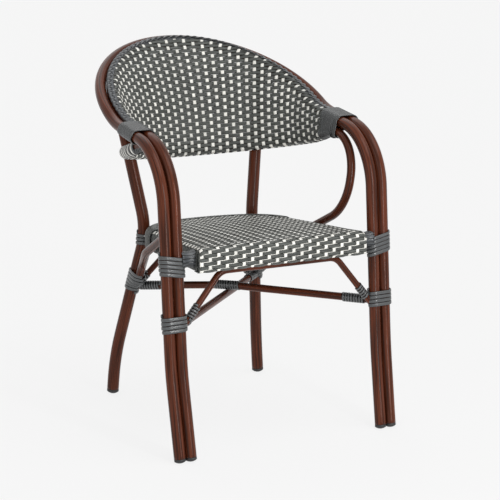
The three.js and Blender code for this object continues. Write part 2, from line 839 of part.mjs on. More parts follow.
function aroundTube({ middle, rise, inward }, radius, degrees) {
  const angle = THREE.MathUtils.degToRad(degrees);
  const place = middle.clone().addScaledVector(inward, radius * Math.cos(angle));
  return place.addScaledVector(rise, radius * Math.sin(angle));
}

const hoopWrapShare = 1 / Math.cos(THREE.MathUtils.degToRad(hoopWrapStep / 2));

function panelRow(station, depth) {
  const hoopRadius = (frameTubeRadius + seatGap) * hoopWrapShare + depth;
  const railRadius = (lowerRailRadius + seatGap) * rollShare + depth;
  const hoopPart = hoopWrapAngles.map((angle) => aroundTube(station.hoop, hoopRadius, angle));
  const railPart = railWrapAngles.map((angle) => aroundTube(station.rail, railRadius, angle));
  const height = hoopPart[2].distanceTo(railPart[0]);
  const middle = panelMiddleShares.map((share) => {
    const bulge = panelBulge * Math.min(height / panelBulgeHeight, 1) * Math.sin(Math.PI * share);
    return hoopPart[2].clone().lerp(railPart[0], share).addScaledVector(station.rail.inward, bulge);
  });
  return [...hoopPart, ...middle, ...railPart];
}

const stations = panelStations();
const panelFront = stations.map((station) => panelRow(station, weaveThickness));
const panelBack = stations.map((station) => panelRow(station, 0));
add('back_weave', thickSheet(panelFront, panelBack, false), weaveGrey);

function braidRow(station, depth) {
  const radius = (frameTubeRadius + seatGap) * hoopWrapShare + depth;
  return braidAngles.map((angle) => aroundTube(station.hoop, radius, angle));
}

const braidOuter = stations.map((station) => braidRow(station, braidThickness));
const braidInner = stations.map((station) => braidRow(station, 0));
add('hoop_edge_braid', thickSheet(braidOuter, braidInner, false), braidGrey);

// Arches and stretchers

function archRoute(reach, halfSpread, height, radius, endAt) {
  return bentRoute([
    { place: endAt(-1) },
    { place: point(-halfSpread, reach, height), radius },
    { place: point(halfSpread, reach, height), radius },
    { place: endAt(1) },
  ]);
}

const frontArchHeight = seatBottomAt(archFrontReach) - seatGap - archRadius;
function frontArchEnd(side) {
  return point(side * innerHalfSpread, archFrontEndReach, lowerWrapHeight - archFrontEndDrop);
}

const frontArch = archRoute(
  archFrontReach,
  archFrontHalfSpread,
  frontArchHeight,
  archFrontRadius,
  frontArchEnd,
);

const rearArchHeight = crossRail.z - crossRailRadius - seatGap - archRadius;
function rearArchEnd(side) {
  const { place } = rearLegAt(side, rearWrapHeight - archRearEndDrop);
  return place.setY(place.y + archRearSetback);
}

const rearArch = archRoute(crossRail.y, archRearHalfSpread, rearArchHeight, archRearRadius, rearArchEnd);

const envelopeLength = 3 * rearWrapLength;
const frontEnvelopes = sides.map(([, side]) => pairEnvelope(side, lowerWrapHeight, envelopeLength));
const rearEnvelopes = sides.map(([, side]) => rearLegEnvelope(side, rearWrapHeight, envelopeLength));
const envelopes = [...frontEnvelopes, ...rearEnvelopes];

add('front_arch', cut(tube(frontArch, archRadius, slimTubeSides), frontEnvelopes), brownSlimTube);
add('rear_arch', cut(tube(rearArch, archRadius, slimTubeSides), rearEnvelopes), brownSlimTube);

function stretcherEnds(side, frontDrop, rearDrop) {
  const front = pairAt(side, lowerWrapHeight - frontDrop);
  front.setX(side * innerHalfSpread).setY(front.y + stretcherFrontSetback);
  const rear = rearLegAt(-side, rearWrapHeight - rearDrop).place;
  rear.setY(rear.y - stretcherRearSetback);
  return [front.addScaledVector(along(rear, front), stretcherRadius), rear];
}

const straightRoute = stretcherEnds(-1, straightFrontDrop, straightRearDrop);
const raisedEnds = stretcherEnds(1, raisedFrontDrop, raisedRearDrop);
const crossingShare = straightRoute[0].x / (straightRoute[0].x - straightRoute[1].x);
const crossing = straightRoute[0].clone().lerp(straightRoute[1], crossingShare);
const crossingRise = stretcherDiameter + crossingSleeveThickness + 3 * seatGap;
const raisedPeak = crossing.clone().addScaledVector(up, crossingRise);
const raisedRoute = bentRoute([
  { place: raisedEnds[0] },
  { place: raisedPeak, radius: raisedStretcherRadius },
  { place: raisedEnds[1] },
]);
for (const [name, route] of [['straight', straightRoute], ['raised', raisedRoute]]) {
  const blank = tube(route, stretcherRadius, slimTubeSides);
  add(`${name}_stretcher`, cut(blank, envelopes), brownSlimTube);
}

// Bindings on the stretchers and arches: ribbed sleeves pushed up to the legs

// A sleeve on a straight run, centred a distance from its first end.
function sleeveOn(from, to, distance, tubeRadius, length) {
  const axis = along(from, to);
  const body = sleeve(tubeRadius + seatGap, sleeveThickness, length, sleeveRibs);
  return placed(body, from.clone().addScaledVector(axis, distance), axis);
}

const frontSleeveSetback = stretcherRadius + frameTubeRadius + wrapReach + sleeveLength / 2;
const rearSleeveSetback = rearLegRadius + wrapReach + sleeveLength / 2;
const stretcherRuns = [
  ['front_left', straightRoute, frontSleeveSetback],
  ['rear_right', straightRoute.slice().reverse(), rearSleeveSetback],
  ['front_right', raisedRoute, frontSleeveSetback],
  ['rear_left', raisedRoute.slice().reverse(), rearSleeveSetback],
];
for (const [name, [from, to], setback] of stretcherRuns) {
  const body = sleeveOn(from, to, setback, stretcherRadius, sleeveLength);
  add(`stretcher_sleeve_${name}`, cut(body, envelopes), greySleeve);
}

for (const [sideName, side] of sides) {
  const last = side > 0 ? frontArch.length - 1 : 0;
  const [end, bend] = [frontArch[last], frontArch[last - side]];
  const setback = frameTubeRadius + wrapReach + archSleeveLength;
  const body = sleeveOn(end, bend, setback, archRadius, archSleeveLength);
  add(`front_arch_sleeve_${sideName}`, cut(body, frontEnvelopes), greySleeve);
}

for (const [sideName, side] of sides) {
  const last = side > 0 ? rearArch.length - 1 : 0;
  const [end, bend] = [rearArch[last], rearArch[last - side]];
  const setback = rearLegRadius + wrapReach + archSleeveLength;
  const body = sleeveOn(end, bend, setback, archRadius, archSleeveLength);
  add(`rear_arch_sleeve_${sideName}`, cut(body, rearEnvelopes), greySleeve);
}

// A body with a bore right through it, from outer rings and bore rings in the same order.
function boredLoft(outerRings, boreRings) {
  return closedGeometry(gridTriangles([...outerRings, ...boreRings.slice().reverse()], true, true));
}

function ringAbout(middle, axis, radius) {
  const across = up.clone().cross(axis).normalize();
  const above = axis.clone().cross(across);
  return circlePoints(radius, latheSides).map((p) => {
    return middle.clone().addScaledVector(across, p.x).addScaledVector(above, p.y);
  });
}

// A ribbed sleeve on a gently bent tube: its rings sit at given places, all square to one axis.
function bentSleeve(places, axis, boreRadius, thickness) {
  const boreShare = 1 / Math.cos(Math.PI / latheSides);
  const outer = places.map((place, i) => {
    const rib = i % 2 === 0 ? 0 : sleeveRib;
    return ringAbout(place, axis, boreRadius + thickness - sleeveRib + rib);
  });
  const bends = [places[0], places[Math.floor(places.length / 2)], places[places.length - 1]];
  return boredLoft(outer, bends.map((place) => ringAbout(place, axis, boreRadius * boreShare)));
}

// How far along a sleeve each edge and crown of its ribs lies, as shares of its length from its middle.
function ribShares(ribs) {
  return Array.from({ length: 2 * ribs + 1 }, (_, i) => i / (2 * ribs) - 1 / 2);
}

// The sleeve where the raised stretcher rides over the straight one; it follows the gentle bend.
const crossingMiddle = middleOf(raisedRoute.slice(1, -1));
const crossingPlaces = ribShares(crossingRibs).map((share) => {
  const distance = crossingSleeveLength * Math.abs(share);
  const target = share < 0 ? raisedEnds[0] : raisedEnds[1];
  return crossingMiddle.clone().addScaledVector(along(crossingMiddle, target), distance);
});
const crossingAxis = along(raisedEnds[0], raisedEnds[1]);
const crossingBore = stretcherRadius + seatGap;
const crossingSleeve = bentSleeve(crossingPlaces, crossingAxis, crossingBore, crossingSleeveThickness);
add('crossing_sleeve', crossingSleeve, greySleeve);

// Bindings wound round the front pairs: one flat strand each, in a helix that runs round both tubes

function windingRings(middle, loops, slant) {
  const across = point(1, 0, 0);
  const behind = pairAxis.clone().cross(across);
  const radius = frameTubeRadius + wrapGap + strandThickness / 2;
  const count = loops * loopSteps + 1;
  return Array.from({ length: count }, (_, i) => {
    const angle = (2 * Math.PI * (i + 1 / 2)) / loopSteps;
    const outward = across.clone().multiplyScalar(Math.cos(angle));
    outward.addScaledVector(behind, Math.sin(angle));
    const sideways = (Math.sign(Math.cos(angle)) * pairPitch) / 2 + radius * Math.cos(angle);
    const climb = strandSpacing * (i / loopSteps - loops / 2) + slant * sideways;
    const place = middle.clone().addScaledVector(across, sideways);
    place.addScaledVector(behind, radius * Math.sin(angle)).addScaledVector(pairAxis, climb);
    const corners = [[2, 0], [1, 1], [-1, 1], [-2, 0], [-1, -1], [1, -1]];
    return corners.map(([wide, deep]) => {
      const corner = place.clone().addScaledVector(pairAxis, (wide * strandWidth) / 4);
      return corner.addScaledVector(outward, (deep * strandThickness) / 2);
    });
  });
}

function leastTurnGap(rings) {
  let least = Infinity;
  for (let i = 0; i + loopSteps < rings.length; i += 1) {
    for (const here of rings[i]) {
      for (const next of rings[i + loopSteps]) {
        least = Math.min(least, here.distanceTo(next));
      }
    }
  }
  return least;
}

for (const [sideName, side] of sides) {
  const windings = [
    [`front_lower_wrap_${sideName}`, lowerWrapHeight, lowerLoops, 0],
    [`front_upper_wrap_${sideName}`, upperWrapHeight, upperLoops, side * upperWrapSlantShare],
  ];
  for (const [name, height, loops, slant] of windings) {
    const rings = windingRings(pairAt(side, height), loops, slant);
    const gap = leastTurnGap(rings);
    console.log(`${name}: least gap between turns ${gap.toFixed(2)} mm, over ${leastStrandGap} mm wanted`);
    add(name, loft(rings), greyStrand);
  }
}

// Bindings on the rear legs

for (const [sideName, side] of sides) {
  const lower = rearLegAt(side, rearWrapHeight);
  const boreRadius = rearLegRadius + wrapGap;
  const lowerBody = sleeve(boreRadius, strandThickness, rearWrapLength, rearLowerRibs);
  add(`rear_lower_wrap_${sideName}`, placed(lowerBody, lower.place, lower.axis), greySleeve);
  const upperHeight = crossRail.z + crossRailRadius + rearSeatWrapLength / 2 + 2 * wrapGap;
  const places = ribShares(sleeveRibs).map((share) => {
    return rearLegAt(side, upperHeight + rearSeatWrapLength * share).place;
  });
  const axis = along(places[0], places[places.length - 1]);
  add(`rear_upper_wrap_${sideName}`, bentSleeve(places, axis, boreRadius, strandThickness), greySleeve);
}

// Bindings on the arms: a ribbed belt round both arm tubes and the slim tube that hangs under them

const armWrapPitch = (armWrapRearReach - armWrapFrontReach) / armWrapRibs;

// The slim tube under the right arm at a reach: the brace, or near their joint and behind it the rail.
function slimTubeAt(reach) {
  const ahead = reach < crestJointReach - armWrapPitch;
  const route = ahead ? braceRoute(1) : railHalf;
  const i = route.findIndex((p, k) => k > 0 && (ahead ? p.y <= reach : p.y >= reach));
  const share = (reach - route[i - 1].y) / (route[i].y - route[i - 1].y);
  const steepness = 1 / Math.abs(along(route[i - 1], route[i]).y);
  const middle = route[i - 1].clone().lerp(route[i], share);
  return { middle, radius: (ahead ? braceRadius : lowerRailRadius) * steepness };
}

function beltRing(side, reach, offset) {
  const slim = slimTubeAt(reach);
  const tubes = [
    [armHalfSpread + pairPitch / 2, armHeightAt(reach), frameTubeRadius],
    [innerHalfSpread, armHeightAt(reach), frameTubeRadius],
    [slim.middle.x, slim.middle.z, slim.radius],
  ];
  return Array.from({ length: beltSides }, (_, i) => {
    const angle = (2 * Math.PI * (i + 1 / 2)) / beltSides;
    const [c, s] = [Math.cos(angle), Math.sin(angle)];
    const reachOut = tubes.map(([x, z, radius]) => x * c + z * s + radius);
    const [x, z, radius] = tubes[reachOut.indexOf(Math.max(...reachOut))];
    return point(side * (x + (radius + offset) * c), reach, z + (radius + offset) * s);
  });
}

for (const [sideName, side] of sides) {
  const beltLow = beltGap + armWrapThickness;
  const middleReach = (armWrapFrontReach + armWrapRearReach) / 2;
  const length = armWrapRearReach - armWrapFrontReach;
  const reaches = ribShares(armWrapRibs).map((share) => middleReach + length * share);
  const outer = reaches.map((reach, i) => beltRing(side, reach, beltLow + (i % 2) * armWrapRib));
  const bore = reaches.filter((_, i) => i % 2 === 0).map((reach) => beltRing(side, reach, beltGap));
  add(`arm_wrap_${sideName}`, boredLoft(outer, bore), greySleeve);
}

// Centre the chair's outline over the origin, on the floor
const bounds = new THREE.Box3().setFromObject(chair);
chair.position.y = -(bounds.min.y + bounds.max.y) / 2;

export default chair;
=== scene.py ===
"""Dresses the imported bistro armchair: coated tubes, woven cane, bound joints, glides and the studio."""

import math

import bpy
import numpy as np
from bpy.props import FloatProperty, FloatVectorProperty, IntProperty, PointerProperty
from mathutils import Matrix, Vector


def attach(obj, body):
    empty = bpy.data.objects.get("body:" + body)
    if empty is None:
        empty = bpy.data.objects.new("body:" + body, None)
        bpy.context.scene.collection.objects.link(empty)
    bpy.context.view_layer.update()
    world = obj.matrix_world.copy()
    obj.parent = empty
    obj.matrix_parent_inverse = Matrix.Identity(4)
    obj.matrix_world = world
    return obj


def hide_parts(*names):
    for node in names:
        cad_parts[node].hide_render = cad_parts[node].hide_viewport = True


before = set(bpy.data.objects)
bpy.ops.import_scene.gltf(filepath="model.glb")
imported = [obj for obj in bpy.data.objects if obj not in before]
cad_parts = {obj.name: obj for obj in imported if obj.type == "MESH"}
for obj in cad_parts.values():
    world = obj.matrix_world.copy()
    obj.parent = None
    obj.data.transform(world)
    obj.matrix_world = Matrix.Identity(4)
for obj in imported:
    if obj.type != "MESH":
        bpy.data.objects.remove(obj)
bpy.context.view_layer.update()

bl_info = {
    "name": "Woven Bistro Armchair",
    "version": (1, 0, 0),
    "blender": (4, 5, 0),
    "location": "View3D > Sidebar > Bistro Chair",
    "description": "Builds the tubes, woven cane and bindings of a stacking bistro armchair",
    "category": "Object",
}

BODY = "root"
SIDES = (("left", -1), ("right", 1))

# Sizes of the solids in millimetres, as the part's source has them.
# Reach is measured backwards from the front feet, whose line lies this far from the origin.
FRONT_FEET_REACH = 305.077
SEAT_GAP = 0.3
FRAME_RADIUS = 12.5
REAR_LEG_RADIUS = 14.0
BRACE_RADIUS = 9.5
STRETCHER_RADIUS = 8.5
ARCH_RADIUS = 7.0
RAIL_RADIUS = 12.5
CROSS_RAIL_RADIUS = 8.5
PAIR_PITCH = 2 * FRAME_RADIUS + SEAT_GAP
ARM_HALF_SPREAD = 250.0
INNER_HALF_SPREAD = ARM_HALF_SPREAD - PAIR_PITCH / 2

# Front legs and arms
FOOT_INSET = 4.0
SHIN_HEIGHT, SHIN_REACH, SHIN_BEND = 188.0, 34.0, 780
ELBOW_HEIGHT, ELBOW_REACH, ELBOW_BEND = 646.6, 71.5, 138
ARM_CLIMB = 0.13
ARM_SPLIT_REACH = 224.0

# Back hoops and the rail under the back
HOOP_CORNER_REACH, HOOP_CORNER_RADIUS = 310.0, 180.0
HOOP_DEPTH, HOOP_RISE, HOOP_LEAN = 259.5, 129.5, 2.6
CREST_INSET = 7.0
RAIL_HALF_SPREAD, RAIL_SIDE_REACH, RAIL_DEPTH = 232.0, 290.0, 200.0
RAIL_SIDE_DROP, RAIL_DROP = 55.0, 44.0
RAIL_START_REACH, RAIL_LOW_REACH, RAIL_LOW_BEND, RAIL_SIDE_BEND = 212, 228, 38, 150
RAIL_BLEND = math.radians(20)
RAIL_ROLL = 2.5
PANEL_START_REACH = 251.0

# Rear legs: places and bend radii from the foot up, and angles round the rail and the hoop
REAR_FOOT = (195.3, 518.7, 0)
ANKLE, ANKLE_BEND = (189, 516, 90), 500
CALF, CALF_BEND = (159.5, 467.5, 280), 800
KNEE_HEIGHT, KNEE_BEND = 405, 190
LEG_RAIL_ANGLE, LEG_HOOP_ANGLE = math.radians(51.3), math.radians(39.4)
LEG_RAIL_SPAN = math.radians(13)

# Arm braces: places and bend radii from under the arm down to the rear leg
BRACE_HOOK_REACH, BRACE_HOOK_BEND = 198, 38
BRACE_BOW, BRACE_BOW_BEND = (226, 116, ELBOW_HEIGHT - 31.6), 92
BRACE_FRONT, BRACE_FRONT_BEND = (116, 482), 100
BRACE_REAR, BRACE_REAR_BEND = (325, 379.5), 150
BRACE_HEEL, BRACE_HEEL_BEND = (160, 412, 330), 60

# Arches: half width, reach and bend radius, and where they end on the legs
FRONT_ARCH_HALF, FRONT_ARCH_REACH, FRONT_ARCH_BEND = 140, 47, 34
FRONT_ARCH_END_REACH, FRONT_ARCH_DROP = 44, 18
REAR_ARCH_HALF, REAR_ARCH_BEND = 77, 40
REAR_ARCH_SETBACK, REAR_ARCH_DROP = 7, 34

# Stretchers: how far their ends lie below the bindings, and the raised one's bend
STRAIGHT_DROPS, RAISED_DROPS = (10, 12.5), (5, 7.5)
STRETCHER_FRONT_SETBACK, STRETCHER_REAR_SETBACK = 13, 8
CROSSING_ROOM = 1.6 + 3 * SEAT_GAP
CROSSING_BEND = 90

# Seat
SEAT_FRONT_HEIGHT, SEAT_FRONT_REACH, SEAT_FRONT_HALF = 450.0, 17.3, 203.0
SEAT_SIDE_HALF, SEAT_SIDE_REACH, SEAT_REAR_REACH = 179.0, 320.0, 468.0
SEAT_REAR_DEPTH = SEAT_REAR_REACH - SEAT_SIDE_REACH
SEAT_TILT = 0.071
SEAT_FRONT_THICKNESS, SEAT_REAR_THICKNESS = 50.0, 45.0
SEAT_CORNER, SEAT_TOP_ROUNDING, SEAT_BOTTOM_ROUNDING = 10.0, 16.0, 5.0
SEAT_CROWN = 6.0

# Bindings
LOWER_WRAP_HEIGHT, UPPER_WRAP_HEIGHT, REAR_WRAP_HEIGHT = 288.0, 413.0, 280.0
WRAP_REACH = 4.0
BRACE_END_RISE = 10

# Glides: a ball's cap, cut flat on the floor
DOME_RADIUS, DOME_FLAT = 20, 0.6
COLLAR_HEIGHT = 5
COLLAR_EDGE, COLLAR_EDGE_CUT = 0.8, 0.25
STEM_INSET, STEM_HEIGHT, STEM_TAPER = 2.2, 18, 2.0
AXIS_RADIUS = 0.01

# How far the weave hangs below its frame and stands out at the front corners. It stands out
# less and less up to a reach, over a run that starts at the seat's front.
WEAVE_HANG, WEAVE_SPREAD = 2.5, 2.5
WEAVE_SPREAD_REACH, WEAVE_SPREAD_RUN = 80, 63
WOVEN_FRONT_HALF = SEAT_FRONT_HALF + WEAVE_SPREAD


def linear(colour):
    """The linear colour of an sRGB hex value, so that a colour renders as it is written."""
    values = [int(colour[i : i + 2], 16) / 255 for i in (1, 3, 5)]
    return [v / 12.92 if v <= 0.04045 else ((v + 0.055) / 1.055) ** 2.4 for v in values]


def colour_setting(name, description, value):
    """A colour property whose default is an sRGB hex value."""
    kind = {"subtype": "COLOR", "size": 3, "min": 0, "max": 1}
    return FloatVectorProperty(name=name, description=description, default=linear(value), **kind)


def length_setting(name, description, value):
    """A length property in metres."""
    return FloatProperty(name=name, description=description, default=value, unit="LENGTH", min=0.0002)


class ChairSizes(bpy.types.PropertyGroup):
    """Sizes of the cane and of the bindings."""

    row_pitch: length_setting("Seat row pitch", "Distance between the seat's grey rows", 0.0085)
    column_pitch: length_setting("Seat column pitch", "Distance between the seat's cream columns", 0.01975)
    back_row_pitch: length_setting("Back row pitch", "Distance between the back's grey rows", 0.0085)
    back_column_pitch: length_setting(
        "Back column pitch", "Distance between the back's cream columns", 0.0182
    )
    cane_width: length_setting("Cream cane width", "Width of a cream column strand", 0.0082)
    cane_thickness: length_setting("Cane thickness", "Thickness of a woven strand", 0.0013)
    edge_strand: length_setting("Fine strand", "Width of the fine cream strand between seat rows", 0.0014)
    binding_width: length_setting("Binding width", "Width of a strand wound round the legs", 0.0079)
    tube_sides: IntProperty(name="Tube sides", description="Faces round each tube", default=32, min=12)


class ChairColours(bpy.types.PropertyGroup):
    """Colours of the finishes."""

    tube: colour_setting("Tube", "Walnut coating of the tubes", "#61301d")
    tube_streak: colour_setting("Tube streaks", "Dark streaks of the wood effect", "#20100a")
    cream: colour_setting("Cream cane", "Columns of the weave", "#f2f1ea")
    cream_streak: colour_setting("Cream cane streaks", "Dull streaks along the cream columns", "#e2ddd0")
    grey: colour_setting("Grey cane", "Rows of the weave", "#4a4c49")
    grey_streak: colour_setting("Grey cane streaks", "Pale streaks along the grey rows", "#7b7e7a")
    plait: colour_setting("Plait", "Dark cane plaited over the hoops", "#363a3e")
    plait_streak: colour_setting("Plait streaks", "Pale streaks along the dark cane", "#6f7377")
    binding: colour_setting("Bindings", "Strands wound round the joints", "#424445")
    binding_streak: colour_setting("Binding streaks", "Pale streaks along the bindings", "#7e8283")
    glide: colour_setting("Glides", "Moulded foot glides", "#262626")
    metal: colour_setting("Seat frame", "Bare metal under the seat", "#9b9b98")
    floor: colour_setting("Floor", "Studio floor", "#f7f7f7")


# Shape functions in millimetres: x across, y the reach and z up


def vec(x, y, z):
    """A point as an array."""
    return np.array((x, y, z), dtype=float)


def unit(vectors):
    """The vectors scaled to length one."""
    return vectors / np.linalg.norm(vectors, axis=-1, keepdims=True)


def square_to(vectors, axis):
    """What is left of the vectors when their part along an axis is taken off, at length one."""
    return unit(vectors - (vectors * axis).sum(axis=-1, keepdims=True) * axis)


def smooth_step(low, high, values):
    """0 below low and 1 above high, with a cubic between them."""
    share = np.clip((values - low) / (high - low), 0, 1)
    return share * share * (3 - 2 * share)


def bent_route(corners, step=math.radians(2.5)):
    """Straight runs joined by circular arcs.

    Each arc is its centre plus the first radius times the cosine and the direction of travel
    times the radius and the sine, from 0 to the angle that the tube turns at that corner.
    """
    parts = [corners[0][0][None]]
    for (before, _), (place, radius), (after, _) in zip(corners, corners[1:], corners[2:]):
        back, ahead = unit(before - place), unit(after - place)
        turn = math.pi - math.acos(float(np.clip(back @ ahead, -1, 1)))
        centre = place + unit(back + ahead) * radius / math.cos(turn / 2)
        first = place + back * radius * math.tan(turn / 2) - centre
        angle = np.linspace(0, turn, max(2, math.ceil(turn / step)) + 1)[:, None]
        parts.append(centre + first * np.cos(angle) - back * radius * np.sin(angle))
    parts.append(corners[-1][0][None])
    return np.concatenate(parts)


def distances(route):
    """The distance along a route at each of its points."""
    return np.concatenate([[0], np.cumsum(np.linalg.norm(np.diff(route, axis=0), axis=1))])


def resample(route, count):
    """The same route with evenly spaced points, found by distance along it."""
    along = distances(route)
    return looked_up(np.linspace(0, along[-1], count), along, route)


def looked_up(want, known, rows):
    """Points between the rows of a table, by a value that grows down the table."""
    return np.stack([np.interp(want, known, column) for column in rows.T], axis=-1)


def table_at(table, share):
    """Points between the rows of a table, at shares of its length."""
    return looked_up(share, np.linspace(0, 1, len(table)), table)


def mirrored(route):
    """A route followed by its mirror image across the middle of the chair."""
    other = route[::-1] * (-1, 1, 1)
    return np.concatenate([route, other[1:]])


def crossing(route, axis, value):
    """Where a route first passes a value on one axis: the next point's number, and the place."""
    i = int(np.argmax(route[:, axis] >= value))
    share = (value - route[i - 1, axis]) / (route[i, axis] - route[i - 1, axis])
    return i, route[i - 1] + share * (route[i] - route[i - 1])


def from_reach(route, reach):
    """The part of a route behind a reach, starting exactly there."""
    i, start = crossing(route, 1, reach)
    return np.concatenate([start[None], route[i:]])


def arm_height(reach):
    """Height of the arm tubes' middle."""
    return ELBOW_HEIGHT + ARM_CLIMB * (reach - ELBOW_REACH)


def pair_at(side, height):
    """The middle of a front pair of legs between the shin and the elbow."""
    share = (height - SHIN_HEIGHT) / (ELBOW_HEIGHT - SHIN_HEIGHT)
    return vec(side * ARM_HALF_SPREAD, SHIN_REACH + share * (ELBOW_REACH - SHIN_REACH), height)


PAIR_AXIS = unit(pair_at(1, ELBOW_HEIGHT) - pair_at(1, SHIN_HEIGHT))
HOOP_TURN = math.atan(HOOP_RISE / HOOP_DEPTH) - math.atan(ARM_CLIMB)
HOOP_SETBACK = HOOP_CORNER_RADIUS * math.tan(HOOP_TURN / 2)
HOOP_CLIMB = unit(vec(0, HOOP_DEPTH, HOOP_RISE))
HOOP_CORNER = vec(0, HOOP_CORNER_REACH, arm_height(HOOP_CORNER_REACH))
HOOP_START = HOOP_CORNER + HOOP_SETBACK * HOOP_CLIMB


def hoop_place(offset, angle):
    """Half an ellipse in plan that climbs with the sine of the same angle."""
    x = (ARM_HALF_SPREAD + offset) * np.cos(angle)
    y = HOOP_START[1] + (HOOP_DEPTH + offset) * np.sin(angle)
    z = HOOP_START[2] + (HOOP_RISE + HOOP_LEAN * offset / PAIR_PITCH) * np.sin(angle)
    return np.stack([x, y, z], axis=-1)


def half_hoop(offset, start_reach):
    """The arm tube's run, the bend up and a quarter of the ellipse."""
    x = ARM_HALF_SPREAD + offset
    ahead = HOOP_START + HOOP_SETBACK * HOOP_CLIMB
    corners = [
        (vec(x, start_reach, arm_height(start_reach)), 0),
        (vec(x, HOOP_CORNER[1], HOOP_CORNER[2]), HOOP_CORNER_RADIUS),
        (vec(x, ahead[1], ahead[2]), 0),
    ]
    side = bent_route(corners)[:-2]
    return np.concatenate([side, hoop_place(offset, np.linspace(0, math.pi / 2, 121))])


def crest_at(reach, radius):
    """The middle of a tube that touches the inner arm tube from below."""
    drop = math.sqrt((FRAME_RADIUS + radius + SEAT_GAP) ** 2 - CREST_INSET**2)
    height = arm_height(reach) - drop * math.hypot(1, ARM_CLIMB)
    return vec(INNER_HALF_SPREAD - CREST_INSET, reach, height)


def rail_place(angle):
    """Half an ellipse in plan that falls with the sine of the same angle."""
    x = RAIL_HALF_SPREAD * np.cos(angle)
    y = RAIL_SIDE_REACH + RAIL_DEPTH * np.sin(angle)
    z = arm_height(RAIL_SIDE_REACH) - RAIL_SIDE_DROP - RAIL_DROP * np.sin(angle)
    return np.stack([x, y, z], axis=-1)


def half_rail():
    """From the joint under the arm, down beside it and round to the middle of the back."""
    joint = RAIL_START_REACH + SEAT_GAP + (RAIL_RADIUS - BRACE_RADIUS) * ARM_CLIMB
    corners = [
        (crest_at(joint, RAIL_RADIUS), 0),
        (crest_at(RAIL_LOW_REACH, RAIL_RADIUS), RAIL_LOW_BEND),
        (rail_place(0), RAIL_SIDE_BEND),
        (rail_place(RAIL_BLEND), 0),
    ]
    rest = rail_place(np.linspace(RAIL_BLEND, math.pi / 2, 90))
    return np.concatenate([bent_route(corners), rest[1:]])


def rear_leg_corners(side):
    """Foot, ankle, calf, knee and top; the top run touches the rolled rail and ends in the hoops."""
    touch, top = rail_place(LEG_RAIL_ANGLE), hoop_place(0, LEG_HOOP_ANGLE)
    across = rail_place(LEG_RAIL_ANGLE + LEG_RAIL_SPAN) - rail_place(LEG_RAIL_ANGLE - LEG_RAIL_SPAN)
    outward = unit(np.cross(across, unit(top - touch)))
    outward *= np.sign(outward[1])
    # The solid of the weave rolled round the rail has eight sides, whose corners stand out.
    roll = (RAIL_RADIUS + SEAT_GAP + RAIL_ROLL) / math.cos(math.pi / 8)
    touch = touch + outward * (roll + REAR_LEG_RADIUS + SEAT_GAP)
    climb = unit(top - touch)
    corners = [
        (vec(*REAR_FOOT), 0),
        (vec(*ANKLE), ANKLE_BEND),
        (vec(*CALF), CALF_BEND),
        (touch + climb * (KNEE_HEIGHT - touch[2]) / climb[2], KNEE_BEND),
        (top - climb * FRAME_RADIUS / 2, 0),
    ]
    return [(place * (side, 1, 1), radius) for place, radius in corners]


def rear_leg_at(side, height):
    """The middle of a rear leg at a height, and the direction it runs there."""
    route = bent_route(rear_leg_corners(side))
    i, place = crossing(route, 2, height)
    return place, unit(route[i] - route[i - 1])


def seat_half_width(reach):
    """Half of the seat's width, which narrows evenly to where the rear curve begins."""
    share = (reach - SEAT_FRONT_REACH) / (SEAT_SIDE_REACH - SEAT_FRONT_REACH)
    return SEAT_FRONT_HALF + share * (SEAT_SIDE_HALF - SEAT_FRONT_HALF)


def woven_half_width(reach):
    """Half of the weave's width, which stands out a little more towards the front corners."""
    share = (WEAVE_SPREAD_REACH - reach) / WEAVE_SPREAD_RUN
    return seat_half_width(reach) + WEAVE_SPREAD * np.clip(share, 0, 1)


def seat_top(reach):
    """Height of the seat's edge, which falls evenly towards the back."""
    return SEAT_FRONT_HEIGHT - SEAT_TILT * (reach - SEAT_FRONT_REACH)


def seat_thickness(reach):
    """Thickness of the seat, which thins evenly towards the back."""
    share = (reach - SEAT_FRONT_REACH) / (SEAT_REAR_REACH - SEAT_FRONT_REACH)
    return SEAT_FRONT_THICKNESS + share * (SEAT_REAR_THICKNESS - SEAT_FRONT_THICKNESS)


def seat_bottom(reach):
    """Height of the seat's lower edge."""
    return seat_top(reach) - seat_thickness(reach)


def beside_seat(reach, height):
    """The middle of a brace that touches the side of the seat."""
    return vec(seat_half_width(reach) + BRACE_RADIUS + SEAT_GAP, reach, height)


def brace_route(side):
    """From the arm forward and down past the seat, then back to the rear leg."""
    leg, _ = rear_leg_at(1, REAR_WRAP_HEIGHT + BRACE_END_RISE)
    heel = vec(*BRACE_HEEL)
    landing = unit((heel - leg) * (1, 1, 0))
    corners = [
        (crest_at(RAIL_START_REACH, BRACE_RADIUS), 0),
        (crest_at(BRACE_HOOK_REACH, BRACE_RADIUS), BRACE_HOOK_BEND),
        (vec(*BRACE_BOW), BRACE_BOW_BEND),
        (beside_seat(*BRACE_FRONT), BRACE_FRONT_BEND),
        (beside_seat(*BRACE_REAR), BRACE_REAR_BEND),
        (heel, BRACE_HEEL_BEND),
        (leg + landing * (REAR_LEG_RADIUS + WRAP_REACH + BRACE_RADIUS), 0),
    ]
    return bent_route(corners) * (side, 1, 1)


def cross_rail_place():
    """Where the rail under the back of the seat meets a rear leg, found in two steps."""
    reach = SEAT_REAR_REACH
    for _ in range(2):
        place = rear_leg_at(1, seat_bottom(reach) - SEAT_GAP - CROSS_RAIL_RADIUS)[0]
        reach = place[1]
    return place


def arch_route(half_spread, reach, height, radius, end):
    """From one leg up to the seat, across under it and down to the other leg."""
    half = [(end, 0), (vec(half_spread, reach, height), radius)]
    other = [(place * (-1, 1, 1), bend) for place, bend in half[::-1]]
    return bent_route(half + other)


